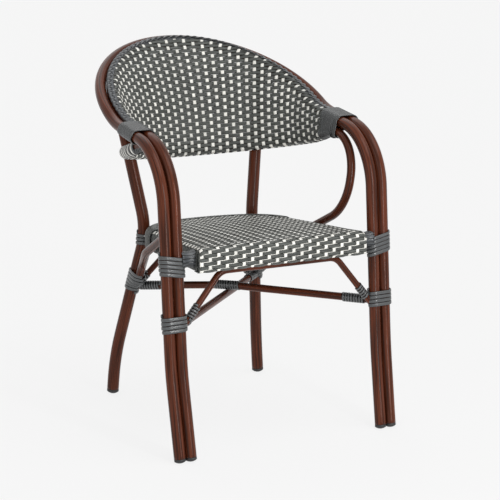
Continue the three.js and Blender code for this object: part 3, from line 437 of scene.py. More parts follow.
def front_arch_route():
    """The arch under the front of the seat."""
    height = seat_bottom(FRONT_ARCH_REACH) - SEAT_GAP - ARCH_RADIUS
    end = vec(INNER_HALF_SPREAD, FRONT_ARCH_END_REACH, LOWER_WRAP_HEIGHT - FRONT_ARCH_DROP)
    return arch_route(FRONT_ARCH_HALF, FRONT_ARCH_REACH, height, FRONT_ARCH_BEND, end)


def rear_arch_route():
    """The arch under the rail at the back of the seat."""
    rail = cross_rail_place()
    height = rail[2] - CROSS_RAIL_RADIUS - SEAT_GAP - ARCH_RADIUS
    end = rear_leg_at(1, REAR_WRAP_HEIGHT - REAR_ARCH_DROP)[0] + vec(0, REAR_ARCH_SETBACK, 0)
    return arch_route(REAR_ARCH_HALF, rail[1], height, REAR_ARCH_BEND, end)


def stretcher_ends(side, front_drop, rear_drop):
    """The ends of a stretcher that runs from one front leg to the rear leg of the other side."""
    front = pair_at(side, LOWER_WRAP_HEIGHT - front_drop)
    front[0] = side * INNER_HALF_SPREAD
    front[1] += STRETCHER_FRONT_SETBACK
    rear = rear_leg_at(-side, REAR_WRAP_HEIGHT - rear_drop)[0]
    rear[1] -= STRETCHER_REAR_SETBACK
    return front + unit(front - rear) * STRETCHER_RADIUS, rear


def straight_stretcher_route():
    """The stretcher from the front left to the rear right."""
    return np.stack(stretcher_ends(-1, *STRAIGHT_DROPS))


def raised_stretcher_route():
    """The stretcher from the front right, which bends up over the straight one."""
    low = straight_stretcher_route()
    front, rear = stretcher_ends(1, *RAISED_DROPS)
    under = low[0] + (low[1] - low[0]) * low[0, 0] / (low[0, 0] - low[1, 0])
    peak = under + vec(0, 0, 2 * STRETCHER_RADIUS + CROSSING_ROOM)
    return bent_route([(front, 0), (peak, CROSSING_BEND), (rear, 0)])


# Mesh functions


def to_row(points):
    """Millimetres in the reach frame to metres in the row frame."""
    return (np.asarray(points, dtype=float) - (0, FRONT_FEET_REACH, 0)) / 1000


def ring_faces(strands, stations, corners):
    """Quads between neighbouring rings of each strand, and one polygon over each end."""
    base = np.arange(strands * stations * corners).reshape(strands, stations, corners)
    near, far = base[:, :-1], base[:, 1:]
    turned_rings = [np.roll(near, -1, axis=2), np.roll(far, -1, axis=2)]
    quads = np.stack([near, *turned_rings, far], axis=-1).reshape(-1, 4).tolist()
    return quads + base[:, 0, ::-1].tolist() + base[:, -1].tolist()


def signed_volume(vertices, faces):
    """Sum of the tetrahedra between the origin and each quad, positive where faces point outwards."""
    quads = np.array([face for face in faces if len(face) == 4])
    a, b, c, d = (vertices[quads[:, k]] for k in range(4))
    return float((a * np.cross(b, c)).sum() + (a * np.cross(c, d)).sum())


def make_piece(name, rings, finish, replaced=(), strand=None):
    """Puts rings of points into a mesh object, smooth and facing outwards, and ties it to the frame."""
    faces = ring_faces(*rings.shape[:3])
    vertices = to_row(rings).reshape(-1, 3)
    if signed_volume(vertices - vertices.mean(axis=0), faces) < 0:
        faces = [face[::-1] for face in faces]
    mesh = bpy.data.meshes.new(name)
    mesh.from_pydata(vertices.tolist(), [], faces)
    mesh.polygons.foreach_set("use_smooth", [True] * len(faces))
    if strand is not None:
        layer = mesh.attributes.new("strand", "FLOAT_VECTOR", "POINT")
        layer.data.foreach_set("vector", np.ascontiguousarray(strand, dtype=np.float32).ravel())
    mesh.materials.append(finish_named(finish))
    mesh.validate()
    piece = bpy.data.objects.new(name, mesh)
    bpy.context.scene.collection.objects.link(piece)
    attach(piece, BODY)
    if replaced:
        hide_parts(*replaced)


def sweep(path, reference, section):
    """A section carried along a path.

    Each ring is the path's point plus the section's x times the reference direction made square
    to the path, plus its y times the cross product of the path's direction and that.
    """
    run = unit(np.gradient(path, axis=0))
    first = square_to(reference, run)
    second = np.cross(run, first)
    x, y = section[:, 0], section[:, 1]
    return path[:, None] + first[:, None] * x[:, None] + second[:, None] * y[:, None]


def round_angles(count):
    """Angles evenly round a circle."""
    return np.linspace(0, 2 * math.pi, count, endpoint=False)


def tube_arrays(path, radius, reference, sides, number):
    """A tube along a path in rings 6 mm apart, and each vertex's place round and along it in metres."""
    count = max(3, int(distances(path)[-1] / 6))
    path = resample(path, count)
    angle = round_angles(sides)
    section = radius * np.stack([np.cos(angle), np.sin(angle)], axis=1)
    around = np.broadcast_to(section, (count, sides, 2))
    along = np.broadcast_to(distances(path)[:, None, None] + 1000 * number, (count, sides, 1))
    return sweep(path, reference, section), np.concatenate([around, along], axis=2) / 1000


def flat_oval(half_width, half_thickness, corners):
    """A strand's section: a circle stretched to its width, with its two faces flattened."""
    angle = round_angles(corners)
    x, y = np.cos(angle), np.sin(angle)
    flat = np.sign(y) * np.abs(y) ** 0.6
    return np.stack([half_width * x, half_thickness * flat], axis=1)


def strand_piece(name, middle, across, out, section, finish, replaced=()):
    """Strands of one section along many middle lines, as one mesh object.

    Each corner is the middle plus the section's x across the strand and its y out of the weave.
    The attribute holds the place across and along the strand in metres, and its number.
    """
    x, y = section[:, 0, None], section[:, 1, None]
    rings = middle[:, :, None] + across[:, :, None] * x + out[:, :, None] * y
    steps = np.linalg.norm(np.diff(middle, axis=1), axis=2)
    along = np.concatenate([np.zeros((len(middle), 1)), np.cumsum(steps, axis=1)], axis=1) / 1000
    number = np.arange(len(middle), dtype=float)
    parts = (section[:, 0] / 1000, along[:, :, None], number[:, None, None])
    place = np.stack([np.broadcast_to(part, rings.shape[:3]) for part in parts], axis=-1)
    make_piece(name, rings, finish, replaced, place)


def facing_strands(name, middle, facing, section, finish, replaced=()):
    """Strands along middle lines, each turned about its run so that it faces a given way."""
    run = unit(np.gradient(middle, axis=1))
    across = unit(np.cross(run, facing))
    strand_piece(name, middle, across, np.cross(across, run), section, finish, replaced)


# Materials


def add_node(tree, kind, inputs, **settings):
    """Adds a node, sets its properties, and links or fills its sockets."""
    node = tree.nodes.new(kind)
    for name, value in settings.items():
        setattr(node, name, value)
    for socket, value in inputs.items():
        if isinstance(value, bpy.types.NodeSocket):
            tree.links.new(value, node.inputs[socket])
        else:
            node.inputs[socket].default_value = value
    return node


def new_material(name):
    """An empty node material and its tree."""
    material = bpy.data.materials.new(name)
    material.use_nodes = True
    material.node_tree.nodes.clear()
    return material, material.node_tree


def four(colour):
    """A colour with full alpha, as a colour socket wants it."""
    return (*colour, 1.0)


def between(low, high, low_result, high_result):
    """The four limits of a range and of what it is turned into."""
    return {"From Min": low, "From Max": high, "To Min": low_result, "To Max": high_result}


def coated_tube_material(name, colours):
    """Aluminium tube with a walnut powder coating under clear lacquer.

    The eye sees a deep brown with fine darker grain along the tube, and a wet, narrow gloss.
    """
    material, tree = new_material(name)
    place = add_node(tree, "ShaderNodeAttribute", {}, attribute_name="strand").outputs["Vector"]
    # Grain streaks about 3 mm wide and 140 mm long, drawn wide enough to show.
    fine = add_node(tree, "ShaderNodeMapping", {"Vector": place, "Scale": (300, 300, 7)}, vector_type="POINT")
    grain = add_node(
        tree, "ShaderNodeTexNoise", {"Vector": fine.outputs[0], "Scale": 1.0, "Detail": 4.0}
    ).outputs["Fac"]
    # Clouds about 12 mm wide and 140 mm long.
    broad = add_node(tree, "ShaderNodeMapping", {"Vector": place, "Scale": (85, 85, 7)}, vector_type="POINT")
    cloud = add_node(
        tree, "ShaderNodeTexNoise", {"Vector": broad.outputs[0], "Scale": 1.0, "Detail": 2.0}
    ).outputs["Fac"]
    streak = add_node(tree, "ShaderNodeMapRange", {"Value": grain, **between(0.4, 0.66, 0.0, 0.85)})
    blend = {0: streak.outputs[0], 6: four(colours.tube), 7: four(colours.tube_streak)}
    dark = add_node(tree, "ShaderNodeMix", blend, data_type="RGBA")
    tint = add_node(tree, "ShaderNodeMapRange", {"Value": cloud, **between(0.3, 0.7, 0.78, 1.22)})
    colour = add_node(tree, "ShaderNodeHueSaturation", {"Color": dark.outputs[2], "Value": tint.outputs[0]})
    rough = add_node(tree, "ShaderNodeMapRange", {"Value": grain, **between(0.3, 0.7, 0.17, 0.25)})
    bump = add_node(tree, "ShaderNodeBump", {"Height": grain, "Strength": 0.12, "Distance": 0.0002})
    look = {
        "Base Color": colour.outputs[0],
        "Roughness": rough.outputs[0],
        "IOR": 1.5,
        "Specular IOR Level": 0.17,
        "Normal": bump.outputs[0],
    }
    shader = add_node(tree, "ShaderNodeBsdfPrincipled", look)
    add_node(tree, "ShaderNodeOutputMaterial", {"Surface": shader.outputs[0]})
    return material


# Each cane: its colour setting, how strongly its streaks and ribs show, its roughness, the half
# width in metres where its painted edge shade is darkest, how bright that shade leaves the edge, and its
# specular level.
CANES = {
    # The columns: matt and almost evenly pale.
    "cream_extruded_cane": ("cream", 0.5, 0.15, 0.4, 0.0043, 0.9, 0.25),
    # The rows: ribbed and streaky.
    "grey_extruded_cane": ("grey", 0.7, 0.3, 0.38, 0.0041, 0.45, 0.25),
    # The wide cane wound round the legs: smooth and glossy.
    "smooth_binding_cane": ("binding", 0.5, 0.15, 0.2, 0.0039, 0.35, 0.7),
    # The narrow cane wound round the arms, the stretchers and the arches: glossy, with painted shade for dark
    # creases.
    "narrow_binding_cane": ("binding", 0.9, 0.1, 0.24, 0.0019, 0.04, 0.8),
    # The cane of the plait, the painted shadow line at the hoop's edge and the seat's front corners: dark,
    # with painted shade for black gaps.
    "dark_plaited_cane": ("plait", 0.5, 0.2, 0.28, 0.0034, 0.02, 0.6),
}


def cane_material(name, colours):
    """Extruded polyethylene cane.

    The eye sees fine pale streaks and ribs that run along each strand, a soft gloss on its
    rounded face, edges darkened by painted shade where strands meet, and a slightly different tone from one
    strand to the next.
    """
    setting, streaks, rib, gloss, half_width, edge_painted_shade, shine = CANES[name]
    base, streak = getattr(colours, setting), getattr(colours, f"{setting}_streak")
    material, tree = new_material(name)
    place = add_node(tree, "ShaderNodeAttribute", {}, attribute_name="strand").outputs["Vector"]
    # Streaks about 1 mm wide and 40 mm long; the third number sets each strand apart.
    scaled = {"Vector": place, "Scale": (1000, 25, 7.3)}
    stretched = add_node(tree, "ShaderNodeMapping", scaled, vector_type="POINT")
    noise = {"Vector": stretched.outputs[0], "Scale": 1.0, "Detail": 3.0}
    lines = add_node(tree, "ShaderNodeTexNoise", noise)
    split = add_node(tree, "ShaderNodeSeparateXYZ", {0: place})
    shade = add_node(tree, "ShaderNodeTexWhiteNoise", {"W": split.outputs[2]}, noise_dimensions="1D")
    shown = {"Value": lines.outputs["Fac"], **between(0.5, 0.75, 0.0, streaks)}
    mask = add_node(tree, "ShaderNodeMapRange", shown)
    blend = {0: mask.outputs[0], 6: four(base), 7: four(streak)}
    mixed = add_node(tree, "ShaderNodeMix", blend, data_type="RGBA")
    varied = {"Value": shade.outputs["Value"], **between(0.0, 1.0, 0.86, 1.14)}
    value = add_node(tree, "ShaderNodeMapRange", varied)
    # From about seven tenths of the half width outwards the strand darkens towards its edge: painted shade
    # where strands meet.
    side = add_node(tree, "ShaderNodeMath", {0: split.outputs[0]}, operation="ABSOLUTE")
    edges = {"Value": side.outputs[0], **between(0.72 * half_width, half_width, 1.0, edge_painted_shade)}
    edge = add_node(tree, "ShaderNodeMapRange", edges)
    both = add_node(tree, "ShaderNodeMath", {0: value.outputs[0], 1: edge.outputs[0]}, operation="MULTIPLY")
    colour = add_node(tree, "ShaderNodeHueSaturation", {"Color": mixed.outputs[2], "Value": both.outputs[0]})
    # Ribs 0.9 mm apart, drawn by a sine across the strand.
    turns = {0: split.outputs[0], 1: 2 * math.pi / 0.0009}
    wave = add_node(tree, "ShaderNodeMath", turns, operation="MULTIPLY")
    ribs = add_node(tree, "ShaderNodeMath", {0: wave.outputs[0]}, operation="SINE")
    bump = add_node(tree, "ShaderNodeBump", {"Height": ribs.outputs[0], "Strength": rib, "Distance": 0.0002})
    look = {
        "Base Color": colour.outputs[0],
        "Roughness": gloss,
        "IOR": 1.51,
        "Specular IOR Level": shine,
        "Normal": bump.outputs[0],
    }
    shader = add_node(tree, "ShaderNodeBsdfPrincipled", look)
    add_node(tree, "ShaderNodeOutputMaterial", {"Surface": shader.outputs[0]})
    return material


def glide_material(name, colours):
    """Injection-moulded polypropylene: near black, with a fine matt texture about 0.5 mm across."""
    material, tree = new_material(name)
    place = add_node(tree, "ShaderNodeTexCoord", {}).outputs["Object"]
    grit = add_node(tree, "ShaderNodeTexNoise", {"Vector": place, "Scale": 2000.0, "Detail": 2.0})
    # Scuffs about 6 mm across.
    scuff = add_node(tree, "ShaderNodeTexNoise", {"Vector": place, "Scale": 160.0, "Detail": 3.0})
    rubbed = {"Value": scuff.outputs["Fac"], **between(0.4, 0.8, 0.9, 1.7)}
    worn = add_node(tree, "ShaderNodeMapRange", rubbed)
    base = {"Color": four(colours.glide), "Value": worn.outputs[0]}
    colour = add_node(tree, "ShaderNodeHueSaturation", base)
    texture = {"Height": grit.outputs["Fac"], "Strength": 0.3, "Distance": 0.0001}
    bump = add_node(tree, "ShaderNodeBump", texture)
    look = {"Base Color": colour.outputs[0], "Roughness": 0.5, "IOR": 1.49, "Normal": bump.outputs[0]}
    shader = add_node(tree, "ShaderNodeBsdfPrincipled", look)
    add_node(tree, "ShaderNodeOutputMaterial", {"Surface": shader.outputs[0]})
    return material


def bare_metal_material(name, colours):
    """Mill-finish extruded aluminium: dull silver with die lines about 0.8 mm apart."""
    material, tree = new_material(name)
    place = add_node(tree, "ShaderNodeTexCoord", {}).outputs["Object"]
    scaled = {"Vector": place, "Scale": (20, 1200, 1200)}
    stretched = add_node(tree, "ShaderNodeMapping", scaled, vector_type="POINT")
    lines = add_node(
        tree, "ShaderNodeTexNoise", {"Vector": stretched.outputs[0], "Scale": 1.0, "Detail": 3.0}
    ).outputs["Fac"]
    rough = add_node(tree, "ShaderNodeMapRange", {"Value": lines, **between(0.3, 0.7, 0.3, 0.5)})
    shade = add_node(tree, "ShaderNodeMapRange", {"Value": lines, **between(0.3, 0.7, 0.85, 1.1)})
    base = {"Color": four(colours.metal), "Value": shade.outputs[0]}
    colour = add_node(tree, "ShaderNodeHueSaturation", base)
    look = {"Base Color": colour.outputs[0], "Metallic": 1.0, "Roughness": rough.outputs[0]}
    shader = add_node(tree, "ShaderNodeBsdfPrincipled", look)
    add_node(tree, "ShaderNodeOutputMaterial", {"Surface": shader.outputs[0]})
    return material


# How much of the floor's brightness is its own where it is seen directly
FLOOR_GLOW = 0.9


def seen_directly(tree):
    """One for camera, glossy and transmission rays, and zero for the rays that light the object."""
    path = add_node(tree, "ShaderNodeLightPath", {}).outputs
    kinds = {0: path["Is Camera Ray"], 1: path["Is Glossy Ray"]}
    shown = add_node(tree, "ShaderNodeMath", kinds, operation="MAXIMUM")
    kinds = {0: shown.outputs[0], 1: path["Is Transmission Ray"]}
    return add_node(tree, "ShaderNodeMath", kinds, operation="MAXIMUM").outputs[0]


def studio_floor_material(name, colours):
    """Pale studio vinyl with a fine matt grain about 1.7 mm across.

    Seen directly or mirrored, most of its brightness is its own, so that it stays pale and the
    shadows on it faint. It lights the chair only as a plain floor.
    """
    material, tree = new_material(name)
    place = add_node(tree, "ShaderNodeTexCoord", {}).outputs["Object"]
    grain = add_node(tree, "ShaderNodeTexNoise", {"Vector": place, "Scale": 600.0}).outputs["Fac"]
    rough = add_node(tree, "ShaderNodeMapRange", {"Value": grain, **between(0.0, 1.0, 0.85, 0.95)})
    share = add_node(tree, "ShaderNodeMath", {0: seen_directly(tree), 1: FLOOR_GLOW}, operation="MULTIPLY")
    colour = four(colours.floor)
    look = {"Base Color": colour, "Roughness": rough.outputs[0], "Specular IOR Level": 0.0}
    matt = add_node(tree, "ShaderNodeBsdfPrincipled", look)
    glow = add_node(tree, "ShaderNodeEmission", {"Color": colour})
    layers = {0: share.outputs[0], 1: matt.outputs[0], 2: glow.outputs[0]}
    mixed = add_node(tree, "ShaderNodeMixShader", layers)
    add_node(tree, "ShaderNodeOutputMaterial", {"Surface": mixed.outputs[0]})
    return material


MAKERS = {
    "walnut_powder_coated_tube": coated_tube_material,
    "moulded_polypropylene_glide": glide_material,
    "mill_finish_aluminium": bare_metal_material,
    "matt_studio_vinyl": studio_floor_material,
    **dict.fromkeys(CANES, cane_material),
}


def finish_named(name):
    """The finish of that name, made the first time that it is asked for."""
    return bpy.data.materials.get(name) or MAKERS[name](name, bpy.context.scene.chair_colours)


# Weave

# How far a strand swings out and in, and half a row's width as a share of its pitch
WEAVE_SWING = 0.75
ROW_COVER = 0.49


def weave_wave(phase):
    """Over and under: a cosine squared off by a hyperbolic tangent.

    So a strand lies flat over the one that it crosses and dives between.
    """
    return np.tanh(1.7 * np.cos(math.pi * phase)) / math.tanh(1.7)


def lay_strands(name, surface, a, b, lift, width_along, section, finish, replaced=(), step=0.02):
    """Strands laid on a surface of two parameters.

    Each middle line is the surface plus the lift times its outward direction, which is the cross
    product of its directions along both parameters, found by differences. Each strand's width
    lies along the first parameter for 0 and along the second for 1.
    """
    a, b = np.broadcast_arrays(a, b)
    along_a = unit(surface(a + step, b) - surface(a - step, b))
    along_b = unit(surface(a, b + step) - surface(a, b - step))
    out = unit(np.cross(along_a, along_b))
    middle = surface(a, b) + out * np.asarray(lift)[..., None]
    strand_piece(name, middle, (along_a, along_b)[width_along], out, section, finish, replaced)


def seat_front_reach(x):
    """Reach of the seat's front edge, which rounds back at the corners by a quarter circle."""
    over = np.clip(np.abs(x) - (WOVEN_FRONT_HALF - SEAT_CORNER), 0, SEAT_CORNER * 0.98)
    return SEAT_FRONT_REACH + SEAT_CORNER - np.sqrt(SEAT_CORNER**2 - over**2)


def seat_edge_inset(x, y):
    """Distance in from the side or rear edge of the seat, near enough for its rounding."""
    side = woven_half_width(np.minimum(y, SEAT_SIDE_REACH)) - np.abs(x)
    behind = np.maximum(y - SEAT_SIDE_REACH, 0)
    round_share = np.sqrt((x / SEAT_SIDE_HALF) ** 2 + (behind / SEAT_REAR_DEPTH) ** 2)
    rear = (1 - round_share) * (SEAT_SIDE_HALF + SEAT_REAR_DEPTH) / 2
    return np.where(y > SEAT_SIDE_REACH, rear, side)


def seat_height(x, y):
    """The seat's top: its tilt, a crown that falls with the square of the distance out, its rounding."""
    middle = (SEAT_FRONT_REACH + SEAT_REAR_REACH) / 2
    out_x = np.abs(x) / (SEAT_SIDE_HALF + 10)
    out_y = np.abs(y - middle) / (middle - SEAT_FRONT_REACH - SEAT_TOP_ROUNDING)
    share = np.clip((out_x**4 + out_y**4) ** 0.25, 0, 1)
    inset = np.clip(seat_edge_inset(x, y), 0, SEAT_TOP_ROUNDING)
    drop = SEAT_TOP_ROUNDING - np.sqrt(SEAT_TOP_ROUNDING**2 - (SEAT_TOP_ROUNDING - inset) ** 2)
    return seat_top(y) + SEAT_CROWN * (1 - share**2) - drop


BOTTOM_ARC = SEAT_BOTTOM_ROUNDING * math.pi / 2
TOP_ARC = SEAT_TOP_ROUNDING * math.pi / 2
WOVEN_THICKNESS = SEAT_FRONT_THICKNESS + WEAVE_HANG
FRONT_FACE = WOVEN_THICKNESS - SEAT_BOTTOM_ROUNDING - SEAT_TOP_ROUNDING
FRONT_FLAT_START = BOTTOM_ARC + FRONT_FACE + TOP_ARC


def seat_profile(rise):
    """The front edge's section as inset and drop below the top, by distance up from its lower edge."""
    low = np.clip(rise / SEAT_BOTTOM_ROUNDING, 0, math.pi / 2)
    high = np.clip((rise - BOTTOM_ARC - FRONT_FACE) / SEAT_TOP_ROUNDING, 0, math.pi / 2)
    face = np.clip(rise - BOTTOM_ARC, 0, FRONT_FACE)
    inset = SEAT_BOTTOM_ROUNDING * (1 - np.sin(low)) + SEAT_TOP_ROUNDING * (1 - np.cos(high))
    inset = inset + np.maximum(-rise, 0) + np.maximum(rise - FRONT_FLAT_START, 0)
    climb = SEAT_BOTTOM_ROUNDING * (1 - np.cos(low)) + face + SEAT_TOP_ROUNDING * np.sin(high)
    return inset, WOVEN_THICKNESS - climb


def seat_surface(front_x, rise):
    """The seat from under its front edge, up its front face and back over its top.

    The first parameter is the distance from the middle where a column crosses the front edge,
    from which it keeps its share of the width. The second is the distance up and back.
    """
    inset, drop = seat_profile(rise)
    y = seat_front_reach(front_x) + inset
    half = woven_half_width(np.clip(y, SEAT_FRONT_REACH, SEAT_SIDE_REACH))
    x = front_x / WOVEN_FRONT_HALF * half
    front, top = seat_top(y) - drop, seat_height(x, y)
    height = np.where(rise > FRONT_FLAT_START, top, front + top - seat_top(y))
    return np.stack([x, y, np.where(rise > BOTTOM_ARC + FRONT_FACE, height, front)], axis=-1)


def side_fold(beyond, thickness):
    """A row's section where it folds over the side: how far out and how far down it is.

    Beyond is the distance past where the rounding starts: a quarter turn, the side face,
    a quarter turn under and then inwards along the underside.
    """
    face = thickness - SEAT_TOP_ROUNDING - SEAT_BOTTOM_ROUNDING
    high = np.clip(beyond / SEAT_TOP_ROUNDING, 0, math.pi / 2)
    down = np.clip(beyond - TOP_ARC, 0, face)
    low = np.clip((beyond - TOP_ARC - face) / SEAT_BOTTOM_ROUNDING, 0, math.pi / 2)
    under = np.maximum(beyond - TOP_ARC - face - BOTTOM_ARC, 0)
    out = SEAT_TOP_ROUNDING * np.sin(high) - SEAT_BOTTOM_ROUNDING * (1 - np.cos(low)) - under
    fall = SEAT_TOP_ROUNDING * (1 - np.cos(high)) + down + SEAT_BOTTOM_ROUNDING * np.sin(low)
    return out, fall


def seat_row_surface(distance, y):
    """The seat's top and sides by distance from the middle line and reach, for rows that fold over."""
    flat = woven_half_width(np.minimum(y, SEAT_SIDE_REACH)) - SEAT_TOP_ROUNDING
    beyond = np.maximum(np.abs(distance) - flat, 0)
    out, fall = side_fold(beyond, seat_thickness(y) + WEAVE_HANG)
    inside = np.minimum(np.abs(distance), flat)
    return np.stack([np.sign(distance) * (inside + out), y, seat_height(inside, y) - fall], axis=-1)


def seat_rear_surface(way, past):
    """The seat's rounded rear edge, by angle round its half ellipse and distance past its rounding."""
    plan = np.stack([SEAT_SIDE_HALF * np.cos(way), SEAT_SIDE_REACH + SEAT_REAR_DEPTH * np.sin(way)], axis=-1)
    normal = unit(np.stack([np.cos(way) / SEAT_SIDE_HALF, np.sin(way) / SEAT_REAR_DEPTH], axis=-1))
    inner = plan - normal * SEAT_TOP_ROUNDING
    over, fall = side_fold(np.maximum(past, 0), seat_thickness(plan[..., 1]))
    plan = plan + normal * (over + np.minimum(past, 0) - SEAT_TOP_ROUNDING)[..., None]
    top = seat_height(inner[..., 0], inner[..., 1])
    return np.stack([plan[..., 0], plan[..., 1], top - fall], axis=-1)


class BuildSeatWeave(bpy.types.Operator):
    """Weaves the seat: cream columns, grey rows that fold over the sides, and fine cream strands"""

    bl_idname = "bistro.seat_weave"
    bl_label = "Weave the seat"

    def execute(self, context):
        sizes = context.scene.chair_sizes
        pitch, column_pitch = sizes.row_pitch * 1000, sizes.column_pitch * 1000
        half_cane, thick = sizes.cane_width * 500, sizes.cane_thickness * 500
        depth = thick + WEAVE_SWING
        front_steps = 168

        # Cream columns keep their share of the width, from under the front to the rear edge.
        tuck, rear_gap, rear_share = 16, 7, 0.985
        count = int((WOVEN_FRONT_HALF - half_cane) / column_pitch)
        number = np.arange(-count, count + 1)
        x = number * column_pitch
        across_rear = np.sqrt(1 - (x / WOVEN_FRONT_HALF * rear_share) ** 2)
        rear = SEAT_SIDE_REACH + (SEAT_REAR_DEPTH - rear_gap) * across_rear
        last = FRONT_FLAT_START + rear - seat_front_reach(x) - SEAT_TOP_ROUNDING
        rise = np.linspace(0, 1, 300) * (last[:, None] + tuck) - tuck
        wave = WEAVE_SWING * weave_wave(number[:, None] + rise / pitch - 0.5)
        section = flat_oval(half_cane, thick, 6)
        cream = "cream_extruded_cane"
        lay_strands("seat_cream_columns", seat_surface, x[:, None], rise, wave - depth, 0, section, cream)

        # Grey rows on the front face and its roundings, which lie still near the corners.
        corner_gap, still, lowest = 0.5, 8, -2
        half = WOVEN_FRONT_HALF - corner_gap
        rows = np.arange(lowest, int(FRONT_FLAT_START / pitch))[:, None]
        x = np.linspace(-half, half, front_steps)
        fade = 1 - smooth_step(half - still, half, np.abs(x))
        wave = -WEAVE_SWING * weave_wave(x / column_pitch + rows) * fade
        wide, grey = flat_oval(pitch * ROW_COVER, thick, 6), "grey_extruded_cane"
        rise = (rows + 0.5) * pitch
        lay_strands("seat_front_rows", seat_surface, x, rise, wave - depth, 1, wide, grey)

        # Grey rows over the top, folded down both sides where these are straight.
        rear_gap, under, inset, still_inside, still_outside = 10, 4, 5, 5, 3
        first = int(FRONT_FLAT_START / pitch)
        start = SEAT_FRONT_REACH + SEAT_TOP_ROUNDING - FRONT_FLAT_START
        rows = np.arange(first, int((SEAT_REAR_REACH - rear_gap - start) / pitch))
        reach = start + (rows + 0.5) * pitch
        fold = SEAT_TOP_ROUNDING * (math.pi / 2 - 1) + seat_thickness(reach) + under + WEAVE_HANG
        behind = np.maximum(reach - SEAT_SIDE_REACH, 0) / (SEAT_REAR_DEPTH - inset)
        rounded = (SEAT_SIDE_HALF - inset) * np.sqrt(np.clip(1 - behind**2, 0, 1))
        limit = np.where(reach < SEAT_SIDE_REACH, woven_half_width(reach) + fold, rounded)
        distance = limit[:, None] * np.linspace(-1, 1, 150)
        half_here = woven_half_width(np.minimum(reach, SEAT_SIDE_REACH))[:, None]
        fade = 1 - smooth_step(half_here - still_inside, half_here + still_outside, np.abs(distance))
        column = distance / half_here * WOVEN_FRONT_HALF / column_pitch
        wave = -WEAVE_SWING * weave_wave(column + rows[:, None]) * fade
        y = reach[:, None]
        lay_strands("seat_top_rows", seat_row_surface, distance, y, wave - depth, 1, wide, grey)

        # Fine cream strands on the front face's lines between rows, above in every second gap.
        fine_half_thickness, fine_cover, fine_swing = 0.6, 0.975, 0.95
        fine = flat_oval(sizes.edge_strand * 500, fine_half_thickness, 4)
        lines = np.arange(first)[:, None]
        x = fine_cover * np.linspace(-1, 1, front_steps) * WOVEN_FRONT_HALF
        wave = fine_swing * weave_wave(x / column_pitch - 0.5 + lines)
        rise = (lines + 1) * pitch
        lay_strands("seat_fine_strands", seat_surface, x, rise, wave - depth, 1, fine, cream)

        # Grey strands down the rounded rear edge, evenly spaced round it.
        angle = np.linspace(0, math.pi, 400)
        arc = np.stack([SEAT_SIDE_HALF * np.cos(angle), SEAT_REAR_DEPTH * np.sin(angle)], axis=1)
        along_arc = distances(arc)
        strands = int(along_arc[-1] / pitch)
        way = np.interp((np.arange(strands) + 0.5) * along_arc[-1] / strands, along_arc, angle)
        before_edge, past_edge = -8, 62
        past = np.linspace(before_edge, past_edge, 36)
        name, node = "seat_rear_strands", ["seat_weave"]
        lay_strands(name, seat_rear_surface, way[:, None], past, -depth, 0, wide, grey, node, 0.01)
        return {"FINISHED"}


# Radii of the weave over the hoop and round the rail, and the back's bulge in millimetres
WEAVE_LIFT = 1.6
PANEL_RADIUS = FRAME_RADIUS + WEAVE_LIFT
ROLL_RADIUS = RAIL_RADIUS + WEAVE_LIFT
PANEL_BULGE = 14.0
# Where the panel is lower than this, near its ends, it bulges less.
BULGE_HEIGHT = 250
# Degrees that the weave goes over the hoop at the arms, and how many fewer at the top
ANGLE_AT_ARMS, LESS_AT_TOP = 70, 52


def panel_hoop(offset, count):
    """The middle line of a hoop from one end of the back panel to the other."""
    half = from_reach(half_hoop(offset, ARM_SPLIT_REACH), PANEL_START_REACH)
    return mirrored(resample(half, count))


def panel_tables():
    """Matching stations along the inner hoop and the lower rail, evenly spaced on each."""
    hoop = panel_hoop(-PAIR_PITCH / 2, 200)
    rail = mirrored(resample(from_reach(half_rail(), PANEL_START_REACH), 200))
    rise = unit(hoop - rail)
    tables = []
    for route in (hoop, rail):
        run = unit(np.gradient(route, axis=0))
        square = square_to(rise, run)
        tables.append((route, square, np.cross(square, run)))
    return tables


class PanelSurface:
    """The back panel by distance across it and distance up from the lower rail.

    Below zero it goes round the rail, and past its height over the hoop. Between them it is the
    straight line from rail to hoop plus a bulge towards the sitter that follows half a sine.
    """

    def __init__(self):
        """Keeps the tables of the hoop and of the rail, and the rail's length."""
        self.hoop, self.rail = panel_tables()
        self.length = float(distances(self.rail[0])[-1])

    def height(self, share):
        """The straight distance from the rail's surface to the hoop's, at a share of the width."""
        near = table_at(self.rail[0], share) + ROLL_RADIUS * table_at(self.rail[2], share)
        far = table_at(self.hoop[0], share) + PANEL_RADIUS * table_at(self.hoop[2], share)
        return np.linalg.norm(far - near, axis=-1)

    def __call__(self, across, rise):
        """The panel's place at a distance across and a distance up."""
        share = across / self.length
        hoop, hoop_up, hoop_in = (table_at(table, share) for table in self.hoop)
        rail, rail_up, rail_in = (table_at(table, share) for table in self.rail)
        height = self.height(share)
        low = (np.minimum(rise, 0) / ROLL_RADIUS)[..., None]
        high = (np.maximum(rise - height, 0) / PANEL_RADIUS)[..., None]
        near = rail + ROLL_RADIUS * (rail_in * np.cos(low) + rail_up * np.sin(low))
        far = hoop + PANEL_RADIUS * (hoop_in * np.cos(high) + hoop_up * np.sin(high))
        climb = np.clip(rise / height, 0, 1)
        bulge = PANEL_BULGE * np.minimum(height / BULGE_HEIGHT, 1) * np.sin(math.pi * climb)
        return near + (far - near) * climb[..., None] + rail_in * bulge[..., None]


def angle_over_hoop(share):
    """How far round the hoop the weave goes: further at the arms than at the top of the back."""
    return np.radians(ANGLE_AT_ARMS - LESS_AT_TOP * np.sin(math.pi * share) ** 5)


